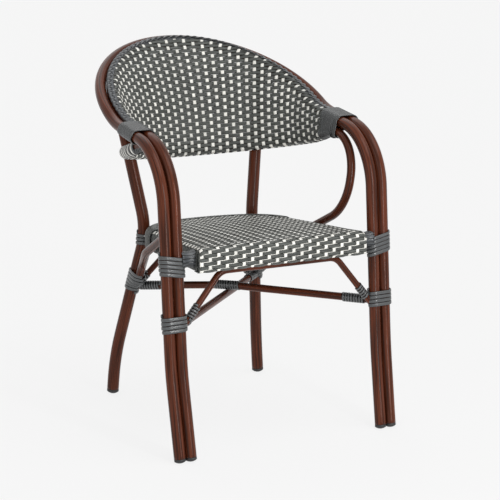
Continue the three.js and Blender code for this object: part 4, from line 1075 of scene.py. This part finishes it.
class BuildBackWeave(bpy.types.Operator):
    """Weaves the back panel from round the lower rail up over the inner hoop"""

    bl_idname = "bistro.back_weave"
    bl_label = "Weave the back"

    def execute(self, context):
        sizes = context.scene.chair_sizes
        pitch, column_pitch = sizes.back_row_pitch * 1000, sizes.back_column_pitch * 1000
        half_cane, thick = sizes.cane_width * 500, sizes.cane_thickness * 500
        panel = PanelSurface()
        centre = panel.length / 2
        bottom = -ROLL_RADIUS * math.radians(100)
        cream, dark = "cream_extruded_cane", "dark_plaited_cane"

        def top_at(share):
            """Where the weave ends over the hoop, as a distance up."""
            return panel.height(share) + PANEL_RADIUS * angle_over_hoop(share)

        # Cream columns from behind the rail to over the hoop.
        count = int(panel.length / column_pitch / 2 - 0.3)
        number = np.arange(-count, count + 1)[:, None]
        across = centre + number * column_pitch
        rise = bottom + np.linspace(0, 1, 125) * (top_at(across / panel.length) - bottom)
        wave = WEAVE_SWING * weave_wave(number + rise / pitch - 0.5)
        section = flat_oval(half_cane, thick, 6)
        lay_strands("back_cream_columns", panel, across, rise, wave, 0, section, cream)

        # Grey rows, which end where the weave's curved upper edge meets them.
        shares = np.linspace(0, 0.5, 400)
        reach_up = top_at(shares)
        rows = np.arange(math.ceil(bottom / pitch), int(reach_up[-1] / pitch))[:, None]
        rise = (rows + 0.5) * pitch
        start = np.interp(rise, np.maximum.accumulate(reach_up), shares, left=0)
        across = panel.length * (start + (1 - 2 * start) * np.linspace(0, 1, 250))
        wave = -WEAVE_SWING * weave_wave((across - centre) / column_pitch + rows)
        section = flat_oval(pitch * ROW_COVER, thick, 6)
        grey, node = "grey_extruded_cane", ["back_weave"]
        lay_strands("back_grey_rows", panel, across, rise, wave, 1, section, grey, node)

        # Round the back of the lower rail the cream strands lie beside dark ones, unwoven.
        rise = -ROLL_RADIUS * np.radians(np.linspace(93, 262, 30))
        gap = column_pitch / 2 - half_cane
        for name, offset, half_width, finish, sunk in (
            ("back_roll_cream", 0, half_cane, cream, 0.3),
            ("back_roll_dark", 0.5, gap, dark, 0.7),
        ):
            across = centre + (number + offset) * column_pitch
            section = flat_oval(half_width, thick, 6)
            lay_strands(name, panel, across, rise, -sunk, 0, section, finish)

        # Dark strands run along the inner hoop, from under the end of the weave to the plait: a painted
        # shadow line between them.
        # The first lies under the weave's end, proud enough to close the gap there.
        share = np.linspace(0, 1, 300)
        lanes = np.linspace(0, 1, 6)[:, None]
        low = angle_over_hoop(share) - math.radians(4)
        turn = low + (math.radians(98) - low) * lanes
        rise = panel.height(share) + PANEL_RADIUS * turn
        proud = 1.4 * (1 - lanes) ** 2 - 0.6
        section = flat_oval(2.2, 0.5, 6)
        lay_strands("hoop_shadow_line_strands", panel, share * panel.length, rise, proud, 1, section, dark)
        return {"FINISHED"}


class BuildEdgeBraid(bpy.types.Operator):
    """Plaits three flat strands over the groove between the hoops

    Each strand swings sideways with the sine of its phase and up and down with the sine of twice
    its phase, a third of a turn from the next.
    """

    bl_idname = "bistro.edge_braid"
    bl_label = "Plait the hoop's edge"

    def execute(self, context):
        # The plait repeats every 50 mm. At the top of the back it lies nearer to the inner hoop.
        repeat, swing, heave = 50, 4.6, 1.5
        aside_at_arms, aside_change = 6.4, 7
        inner, outer = (panel_hoop(offset, 400) for offset in (-PAIR_PITCH / 2, PAIR_PITCH / 2))
        length = float(distances(inner)[-1])
        share = np.linspace(0, 1, int(length / 1.6))
        middle = table_at(inner, share)
        run = unit(np.gradient(middle, axis=0))
        beside = square_to(table_at(outer - inner, share), run)
        above = np.cross(beside, run)
        above *= np.sign(above[:, 2:])
        phase = 2 * math.pi * (length * share[None] / repeat + np.arange(3)[:, None] / 3)
        aside = aside_at_arms - aside_change * np.sin(math.pi * share) ** 2 + swing * np.sin(phase)
        bed = np.sqrt(PANEL_RADIUS**2 - np.minimum(aside, 0) ** 2) - np.maximum(aside, 0) * 0.1
        lift = bed + 0.5 + heave * np.sin(2 * phase)
        place = middle + beside * aside[..., None] + above * lift[..., None]
        section = flat_oval(4.0, 1.4, 8)
        facing = above + beside * 0.12
        facing_strands("hoop_plait", place, facing, section, "dark_plaited_cane", ["hoop_edge_braid"])
        return {"FINISHED"}


# Frame


def glide_middle(ground, axis):
    """The middle of a glide's ball, whose flat lies on the floor."""
    return ground + axis * (DOME_RADIUS - DOME_FLAT) / axis[2]


def leg_start(ground, above, radius):
    """Where a leg tube starts, just above its glide's collar."""
    axis = unit(above - ground)
    climb = COLLAR_HEIGHT + SEAT_GAP - math.sqrt(DOME_RADIUS**2 - radius**2)
    return glide_middle(ground, axis) + axis * climb


def front_feet(side):
    """For both tubes of a front pair, the name, the place on the floor and the shin."""
    for place_name, offset in (("outer", PAIR_PITCH / 2), ("inner", -PAIR_PITCH / 2)):
        x = side * (ARM_HALF_SPREAD + offset)
        yield place_name, vec(x - side * FOOT_INSET, 0, 0), vec(x, SHIN_REACH, SHIN_HEIGHT)


class BuildTubes(bpy.types.Operator):
    """Bends every tube of the frame with round sections and smooth arcs"""

    bl_idname = "bistro.tubes"
    bl_label = "Bend the tubes"

    def execute(self, context):
        x_axis, y_axis, z_axis = np.eye(3)
        tubes = []
        for side_name, side in SIDES:
            for place_name, ground, shin in front_feet(side):
                corners = [
                    (leg_start(ground, shin, FRAME_RADIUS), 0),
                    (shin, SHIN_BEND),
                    (vec(shin[0], ELBOW_REACH, ELBOW_HEIGHT), ELBOW_BEND),
                    (vec(shin[0], ARM_SPLIT_REACH, arm_height(ARM_SPLIT_REACH)), 0),
                ]
                node = f"{place_name}_leg_arm_tube_{side_name}"
                tubes.append((node, bent_route(corners), FRAME_RADIUS, x_axis))
            leg = rear_leg_corners(side)
            leg[0] = (leg_start(leg[0][0], leg[1][0], REAR_LEG_RADIUS), 0)
            tubes.append((f"rear_leg_{side_name}", bent_route(leg), REAR_LEG_RADIUS, x_axis))
            tubes.append((f"arm_brace_{side_name}", brace_route(side), BRACE_RADIUS, x_axis))
        for name, offset in (("outer", PAIR_PITCH / 2), ("inner", -PAIR_PITCH / 2)):
            hoop = mirrored(half_hoop(offset, ARM_SPLIT_REACH + SEAT_GAP))
            tubes.append((f"{name}_back_hoop", hoop, FRAME_RADIUS, z_axis))
        end = cross_rail_place()
        tubes += [
            ("lower_back_rail", mirrored(half_rail()), RAIL_RADIUS, z_axis),
            ("rear_cross_rail", np.stack([end * (-1, 1, 1), end]), CROSS_RAIL_RADIUS, z_axis),
            ("front_arch", front_arch_route(), ARCH_RADIUS, y_axis),
            ("rear_arch", rear_arch_route(), ARCH_RADIUS, y_axis),
            ("straight_stretcher", straight_stretcher_route(), STRETCHER_RADIUS, z_axis),
            ("raised_stretcher", raised_stretcher_route(), STRETCHER_RADIUS, z_axis),
        ]
        sides = context.scene.chair_sizes.tube_sides
        for number, (node, path, radius, reference) in enumerate(tubes):
            rings, place = tube_arrays(path, radius, reference, sides, number)
            finish = "walnut_powder_coated_tube"
            make_piece(f"{node}_coated", rings[None], finish, [node], place)
        return {"FINISHED"}


def turned(profile, place, axis, sides):
    """A profile of radius and height turned round an axis through a place."""
    first = square_to(vec(1, 0, 0), axis)
    second = np.cross(axis, first)
    angle = round_angles(sides)[:, None]
    around = first * np.cos(angle) + second * np.sin(angle)
    radius, height = profile[:, 0, None, None], profile[:, 1, None, None]
    return place + radius * around + height * axis


class BuildGlides(bpy.types.Operator):
    """Turns the six foot glides"""

    bl_idname = "bistro.glides"
    bl_label = "Turn the glides"

    def execute(self, context):
        sides, ball_steps = 40, 8
        feet = []
        for side_name, side in SIDES:
            for place_name, ground, shin in front_feet(side):
                feet.append((f"{place_name}_front_glide_{side_name}", ground, shin, FRAME_RADIUS))
            (ground, _), (ankle, _) = rear_leg_corners(side)[:2]
            feet.append((f"rear_glide_{side_name}", ground, ankle, REAR_LEG_RADIUS))
        for node, ground, above, radius in feet:
            axis = unit(above - ground)
            turn = np.linspace(0, math.asin(radius / DOME_RADIUS), ball_steps + 1)[1:]
            ball = DOME_RADIUS * np.stack([np.sin(turn), -np.cos(turn)], axis=1)
            collar = COLLAR_HEIGHT - math.sqrt(DOME_RADIUS**2 - radius**2)
            stem = radius - STEM_INSET
            edge = [
                (radius, collar - COLLAR_EDGE),
                (radius - COLLAR_EDGE_CUT, collar - COLLAR_EDGE_CUT),
                (radius - COLLAR_EDGE, collar),
                (stem, collar),
                (stem, collar + STEM_HEIGHT - STEM_TAPER),
                (stem - STEM_TAPER, collar + STEM_HEIGHT),
                (AXIS_RADIUS, collar + STEM_HEIGHT),
            ]
            profile = np.concatenate([[(AXIS_RADIUS, -DOME_RADIUS)], ball, edge])
            rings = turned(profile, glide_middle(ground, axis), axis, sides)
            rings[..., 2] = np.maximum(rings[..., 2], 0)
            make_piece(f"{node}_moulded", rings[None], "moulded_polypropylene_glide", [node])
        return {"FINISHED"}


# Bindings

# Places along one turn of an open binding, and of a closely wound coil
TURN_STEPS, COIL_STEPS = 56, 28
# A direction that no bound tube runs along
ASLANT = vec(0.13, 0.21, 0.97)
# Strands wider than this are of the smooth cane
NARROW_LIMIT = 7
# How sharply a strand crosses between the tubes of a pair, and between tubes that part
PAIR_CROSSING, PARTING_CROSSING = 9, 4


def loop_strand(middle, axis, across, half_pitch, radius, loops, pitch, slant, start, steps):
    """A strand wound round one tube or a pair.

    The angle grows evenly. Sideways it is half the distance between the tubes times a hyperbolic
    tangent of the cosine, which is nearly its sign, plus the cosine times the radius, backwards
    the sine times the radius, and upwards the pitch for each turn plus the slant times the
    sideways distance.
    """
    behind = np.cross(axis, across)
    turn = np.arange(int(loops * steps) + 1) / steps
    angle = 2 * math.pi * (turn + start)
    cosine, sine = np.cos(angle), np.sin(angle)
    sideways = np.tanh(cosine * PAIR_CROSSING) * half_pitch + radius * cosine
    climb = pitch * (turn - loops / 2) + slant * sideways
    place = middle + across * sideways[:, None] + behind * (radius * sine)[:, None] + axis * climb[:, None]
    out = across * cosine[:, None] + behind * sine[:, None]
    return place, out


def wound_piece(name, route, section, node):
    """One wound strand, from its places and outward directions, in place of a node."""
    place, out = route
    wide = np.ptp(section[:, 0]) > NARROW_LIMIT
    finish = "smooth_binding_cane" if wide else "narrow_binding_cane"
    facing_strands(name, place[None], out[None], section, finish, [node])


class BuildLegBindings(bpy.types.Operator):
    """Winds the strands round both front pairs of legs"""

    bl_idname = "bistro.leg_bindings"
    bl_label = "Bind the front legs"

    def execute(self, context):
        half_thickness, pitch, slack = 1.5, 8.6, 0.7
        section = flat_oval(context.scene.chair_sizes.binding_width * 500, half_thickness, 12)
        radius = FRAME_RADIUS + slack + half_thickness
        half_pitch, across = PAIR_PITCH / 2, vec(1, 0, 0)
        # Each binding's level, height, turns, and rise for each millimetre sideways
        levels = (("lower", LOWER_WRAP_HEIGHT + 4, 4, 0), ("upper", UPPER_WRAP_HEIGHT, 5, 0.2))
        for side_name, side in SIDES:
            for level, height, loops, slant in levels:
                place = pair_at(side, height)
                shape = (radius, loops, pitch, side * slant, 0.5, TURN_STEPS)
                route = loop_strand(place, PAIR_AXIS, across, half_pitch, *shape)
                node = f"front_{level}_wrap_{side_name}"
                wound_piece(f"{node}_strand", route, section, node)
        return {"FINISHED"}


def coil(start, end, radius, width, thickness):
    """A flat strand wound closely round a straight run from one place to another."""
    length = float(np.linalg.norm(end - start))
    axis = (end - start) / length
    loops = max(1, round(length / width))
    shape = (0, radius + thickness / 2, loops, length / loops, 0, 0, COIL_STEPS)
    return loop_strand((start + end) / 2, axis, unit(np.cross(axis, ASLANT)), *shape)


def tied_strand(middle, axis, toward, radius, loops, pitch):
    """A strand wound round a tube and, in its upper turns, round a second tube beside it.

    It is a helix whose half on the second tube's side is shifted out to that tube. The shift
    grows by a cubic from 6 mm in the lowest turns to 28 mm, the tubes' spacing, in the highest.
    """
    behind = np.cross(axis, toward)
    turn = np.arange(loops * TURN_STEPS + 1) / TURN_STEPS
    cosine, sine = np.cos(2 * math.pi * turn), np.sin(2 * math.pi * turn)
    climb = pitch * (turn - loops / 2)
    near, far, part_from, part_to, pinch = 6, 28, -12, 10, 0.25
    spacing = near + (far - near) * smooth_step(part_from, part_to, climb)
    shift = spacing * (1 + np.tanh(PARTING_CROSSING * cosine)) / 2
    sideways = (radius * cosine + shift)[:, None]
    narrow = (1 - pinch * np.clip(cosine, 0, 1)) * radius * sine
    place = middle + toward * sideways + behind * narrow[:, None] + axis * climb[:, None]
    return place, toward * cosine[:, None] + behind * sine[:, None]


class BuildSleeves(bpy.types.Operator):
    """Winds the coils on the rear legs, stretchers and arches"""

    bl_idname = "bistro.sleeves"
    bl_label = "Bind the stretchers and rear legs"

    def execute(self, context):
        # Each cane's width and half thickness, and its section
        fine_width, fine_half, leg_width, leg_half = 6.2, 1.1, 8.0, 1.5
        fine = (fine_width, flat_oval(fine_width / 2, fine_half, 8))
        wide = (leg_width, flat_oval(leg_width / 2, leg_half, 8))
        runs = []
        lower_rise, lower_radius, turns, pitch = 5, REAR_LEG_RADIUS + 1.9, 6, 8.2
        half_wrap, rail_gap, upper_radius = 13, 1.4, REAR_LEG_RADIUS + 0.4
        for side_name, side in SIDES:
            # A strand round the rear leg and the brace's lower end
            place, axis = rear_leg_at(side, REAR_WRAP_HEIGHT + lower_rise)
            toward = square_to(brace_route(side)[-1] - place, axis)
            route = tied_strand(place, axis, toward, lower_radius, turns, pitch)
            node = f"rear_lower_wrap_{side_name}"
            wound_piece(f"{node}_strand", route, wide[1], node)
            # A coil on the leg just above the rail behind the seat
            height = cross_rail_place()[2] + CROSS_RAIL_RADIUS + half_wrap + rail_gap
            place, axis = rear_leg_at(side, height)
            ends = (place - axis * half_wrap, place + axis * half_wrap)
            runs.append((f"rear_upper_wrap_{side_name}", *ends, upper_radius, wide))

        # Each end's route from the leg inwards, where its sleeve starts and how long it is
        low, high = straight_stretcher_route(), raised_stretcher_route()
        front, rear = FRAME_RADIUS + WRAP_REACH, REAR_LEG_RADIUS + WRAP_REACH
        beside, stretcher, arch, past = front + STRETCHER_RADIUS, 50, 34, 17
        sleeves = [
            ("stretcher_sleeve_front_left", low, beside, stretcher, STRETCHER_RADIUS),
            ("stretcher_sleeve_rear_right", low[::-1], rear, stretcher, STRETCHER_RADIUS),
            ("stretcher_sleeve_front_right", high, beside, stretcher, STRETCHER_RADIUS),
            ("stretcher_sleeve_rear_left", high[::-1], rear, stretcher, STRETCHER_RADIUS),
        ]
        for label, route, start in (("front", front_arch_route(), front), ("rear", rear_arch_route(), rear)):
            sleeves.append((f"{label}_arch_sleeve_right", route, start + past, arch, ARCH_RADIUS))
            sleeves.append((f"{label}_arch_sleeve_left", route[::-1], start + past, arch, ARCH_RADIUS))
        for node, route, start, length, radius in sleeves:
            axis = unit(route[1] - route[0])
            ends = (route[0] + axis * start, route[0] + axis * (start + length))
            runs.append((node, *ends, radius, fine))
        half_length = 30
        middle, half_run = high[1:-1].mean(axis=0), unit(high[-1] - high[0]) * half_length
        ends = (middle - half_run, middle + half_run)
        runs.append(("crossing_sleeve", *ends, STRETCHER_RADIUS, fine))
        for node, start, end, radius, (width, section) in runs:
            route = coil(start, end, radius, width, 2 * section[:, 1].max())
            wound_piece(f"{node}_coil", route, section, node)
        return {"FINISHED"}


class BuildArmBindings(bpy.types.Operator):
    """Winds fine strands round both arm tubes and the slim tube under them

    At every angle the strand lies on whichever tube reaches furthest out that way.
    """

    bl_idname = "bistro.arm_bindings"
    bl_label = "Bind the arms"

    def execute(self, context):
        # The slim tube is the brace in front and the back's lower rail behind.
        turns, per_turn, front, rear = 15, 72, 190.0, 262.0
        joint_start, joint_end = 203, 214
        lift, spacing, crease_drop, crease_out = 2.8, 4, 6, (0.5, 0, -0.87)
        section = flat_oval(2.35, 1.6, 8)
        turn = np.arange(turns * per_turn + 1) / per_turn
        reach = front + (rear - front) * turn / turns
        brace, rail = brace_route(1)[::-1], half_rail()
        brace = brace[int(np.argmin(brace[:, 1])) :]
        slim_brace, slim_rail = (looked_up(reach, route[:, 1], route) for route in (brace, rail))
        ahead = smooth_step(joint_start, joint_end, reach)
        slim = slim_brace * (1 - ahead)[:, None] + slim_rail * ahead[:, None]
        slim_radius = BRACE_RADIUS + (RAIL_RADIUS - BRACE_RADIUS) * ahead
        # Half spread, height and radius of the outer, the inner and the slim tube at every step
        level = arm_height(reach)
        tubes = (
            (ARM_HALF_SPREAD + PAIR_PITCH / 2, level, FRAME_RADIUS),
            (INNER_HALF_SPREAD, level, FRAME_RADIUS),
            (slim[:, 0], slim[:, 2], slim_radius),
        )
        tubes = np.stack([np.stack(np.broadcast_arrays(*tube), axis=1) for tube in tubes])
        cosine, sine = np.cos(2 * math.pi * turn), np.sin(2 * math.pi * turn)
        furthest = np.argmax(tubes[..., 0] * cosine + tubes[..., 1] * sine + tubes[..., 2], axis=0)
        x, z, radius = tubes[furthest, np.arange(len(turn))].T
        place = np.stack([x, reach, z], axis=1)
        out = np.stack([cosine, 0 * cosine, sine], axis=1)
        place = place + out * (radius + lift)[:, None]
        # Between the outer and the slim tube the strand dips into the crease under the inner one.
        dips = np.nonzero(np.abs(np.diff(furthest)) == 2)[0]
        crease = np.stack([0 * reach + INNER_HALF_SPREAD, reach, level - FRAME_RADIUS - crease_drop], axis=1)
        place = np.insert(place, dips + 1, crease[dips], axis=0)
        out = np.insert(out, dips + 1, crease_out, axis=0)
        along = distances(place)
        even = np.linspace(0, along[-1], int(along[-1] / spacing))
        place, out = looked_up(even, along, place), unit(looked_up(even, along, out))
        for side_name, side in SIDES:
            node = f"arm_wrap_{side_name}"
            route = (place * (side, 1, 1), out * (side, 1, 1))
            wound_piece(f"{node}_strand", route, section, node)
        return {"FINISHED"}


class BuildSeatCornerStrands(bpy.types.Operator):
    """Fans strands from the upper front bindings to the seat's front corners

    They lie evenly round a flattened ring, whose radius dips by half a sine between its ends.
    """

    bl_idname = "bistro.seat_corners"
    bl_label = "Tie the seat to the front legs"

    def execute(self, context):
        angle, share = round_angles(14), np.linspace(0, 1, 12)[:, None]
        out = np.stack([0 * angle, np.cos(angle), np.sin(angle)], axis=1)[:, None]
        ring_radius, dip, flatness = 19, 3.5, 0.84
        radius = ring_radius - dip * np.sin(math.pi * share)
        inside_seat, short_of_leg = 2, 6
        section = flat_oval(4.4, 1.3, 8)
        for side_name, side in SIDES:
            _, reach, _ = pair_at(side, UPPER_WRAP_HEIGHT)
            height = (seat_top(reach) + seat_bottom(reach)) / 2
            near = vec(side * (seat_half_width(reach) - inside_seat), reach, height)
            far = vec(side * (INNER_HALF_SPREAD - short_of_leg), reach, height)
            place = near + (far - near) * share + out * radius * (1, flatness, 1)
            name, node = f"seat_corner_strands_{side_name}", f"seat_stub_{side_name}"
            facing_strands(name, place, out, section, "dark_plaited_cane", [node])
        return {"FINISHED"}


class FinishSeatFrame(bpy.types.Operator):
    """Gives the frame and bars under the seat their bare metal"""

    bl_idname = "bistro.seat_frame"
    bl_label = "Finish the seat frame"

    def execute(self, context):
        for node in ("seat_frame", "seat_support_front", "seat_support_rear"):
            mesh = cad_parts[node].data
            mesh.materials.clear()
            mesh.materials.append(finish_named("mill_finish_aluminium"))
        return {"FINISHED"}


# Stage, in metres, seen from the camera: the ways ahead, to the right and up

AHEAD, RIGHT, UP = unit(vec(0.459, 0.888, 0)), unit(vec(0.888, -0.459, 0)), vec(0, 0, 1)
FLOOR_HALF = 60
# Brightness of the surroundings as light on the chair, and where they are seen
ROOM_LIGHT, ROOM_SEEN = 0.5, 0.926
# Each lamp's name, the way it shines from, its strength and its angle across in degrees
SUNS = (
    ("key", RIGHT * 0.60 - AHEAD * 0.30 + UP * 1.50, 0.88, 40),
    ("fill", -RIGHT * 0.9 - AHEAD * 0.9 + UP * 0.7, 0.15, 30),
    ("back", -RIGHT * 0.3 + AHEAD * 1.0 + UP * 1.2, 0.35, 40),
)
BOX_ANGLE, BOX_DISTANCE, BOX_RISE, BOX_TILT = math.radians(34), 2.4, 0.97, 0.6
BOX_WIDTH, BOX_HEIGHT, BOX_WATTS = 0.16, 1.9, 22
CAMERA_PLACE, CAMERA_TARGET = (-1.6145, -3.2449, 1.1723), (-0.0222, -0.1651, 0.4056)
CAMERA_LENS, CAMERA_SENSOR = 117.3, 36


def hang_lamp(lamp, place, source):
    """Puts a lamp at a place, so that it shines from the way given."""
    holder = bpy.data.objects.new(lamp.name, lamp)
    holder.location = place
    holder.rotation_euler = Vector(source).to_track_quat("Z", "Y").to_euler()
    bpy.context.scene.collection.objects.link(holder)
    return holder


class BuildStage(bpy.types.Operator):
    """Lays the pale floor, hangs the soft lights and places the camera"""

    bl_idname = "bistro.stage"
    bl_label = "Set the stage"

    def execute(self, context):
        scene = context.scene
        mesh = bpy.data.meshes.new("studio_floor")
        corners = [(-1, -1, 0), (1, -1, 0), (1, 1, 0), (-1, 1, 0)]
        mesh.from_pydata((FLOOR_HALF * np.array(corners)).tolist(), [], [(0, 1, 2, 3)])
        mesh.materials.append(finish_named("matt_studio_vinyl"))
        floor = bpy.data.objects.new("studio_floor", mesh)
        scene.collection.objects.link(floor)

        world = bpy.data.worlds.new("studio")
        scene.world = world
        world.use_nodes = True
        tree = world.node_tree
        tree.nodes.clear()
        levels = {"Value": seen_directly(tree), **between(0.0, 1.0, ROOM_LIGHT, ROOM_SEEN)}
        strength = add_node(tree, "ShaderNodeMapRange", levels)
        white = {"Color": (1, 1, 1, 1), "Strength": strength.outputs[0]}
        background = add_node(tree, "ShaderNodeBackground", white)
        add_node(tree, "ShaderNodeOutputWorld", {"Surface": background.outputs[0]})

        for name, source, energy, angle in SUNS:
            lamp = bpy.data.lights.new(name, "SUN")
            lamp.energy = energy
            lamp.angle = math.radians(angle)
            hang_lamp(lamp, (0, 0, 0), source)

        # A tall, narrow soft box, whose reflection is the bright line down each tube.
        toward = unit(RIGHT * math.sin(BOX_ANGLE) - AHEAD * math.cos(BOX_ANGLE))
        place = toward * BOX_DISTANCE + UP * BOX_RISE
        box = bpy.data.lights.new("tall_soft_box", "AREA")
        box.shape, box.size, box.size_y, box.energy = "RECTANGLE", BOX_WIDTH, BOX_HEIGHT, BOX_WATTS
        hang_lamp(box, place, place - UP * BOX_TILT).visible_camera = False

        camera_data = bpy.data.cameras.new("camera")
        camera_data.lens, camera_data.sensor_width = CAMERA_LENS, CAMERA_SENSOR
        camera = bpy.data.objects.new("camera", camera_data)
        camera.location = CAMERA_PLACE
        direction = Vector(CAMERA_TARGET) - camera.location
        camera.rotation_euler = direction.to_track_quat("-Z", "Y").to_euler()
        scene.collection.objects.link(camera)
        scene.camera = camera
        scene.view_settings.view_transform = "Standard"
        return {"FINISHED"}


OPERATORS = (
    BuildTubes,
    BuildGlides,
    BuildSeatWeave,
    BuildBackWeave,
    BuildEdgeBraid,
    BuildLegBindings,
    BuildSleeves,
    BuildArmBindings,
    BuildSeatCornerStrands,
    FinishSeatFrame,
    BuildStage,
)


class ChairPanel(bpy.types.Panel):
    """Lists the chair's settings and the steps that build it"""

    bl_idname = "VIEW3D_PT_bistro_chair"
    bl_label = "Bistro Chair"
    bl_space_type = "VIEW_3D"
    bl_region_type = "UI"
    bl_category = "Bistro Chair"

    def draw(self, context):
        for group in (context.scene.chair_sizes, context.scene.chair_colours):
            box = self.layout.box()
            for name in group.__annotations__:
                box.prop(group, name)
        for operator in OPERATORS:
            self.layout.operator(operator.bl_idname)


CLASSES = (ChairSizes, ChairColours, *OPERATORS, ChairPanel)


def register():
    """Registers the classes and hangs the settings on the scene."""
    for item in CLASSES:
        bpy.utils.register_class(item)
    bpy.types.Scene.chair_sizes = PointerProperty(type=ChairSizes)
    bpy.types.Scene.chair_colours = PointerProperty(type=ChairColours)


def unregister():
    """Takes the settings and the classes away again."""
    del bpy.types.Scene.chair_colours
    del bpy.types.Scene.chair_sizes
    for item in reversed(CLASSES):
        bpy.utils.unregister_class(item)


def main():
    """Builds the chair piece by piece."""
    register()
    for operator in OPERATORS:
        name = operator.bl_idname.split(".")[1]
        getattr(bpy.ops.bistro, name)()


if __name__ == "__main__":
    main()
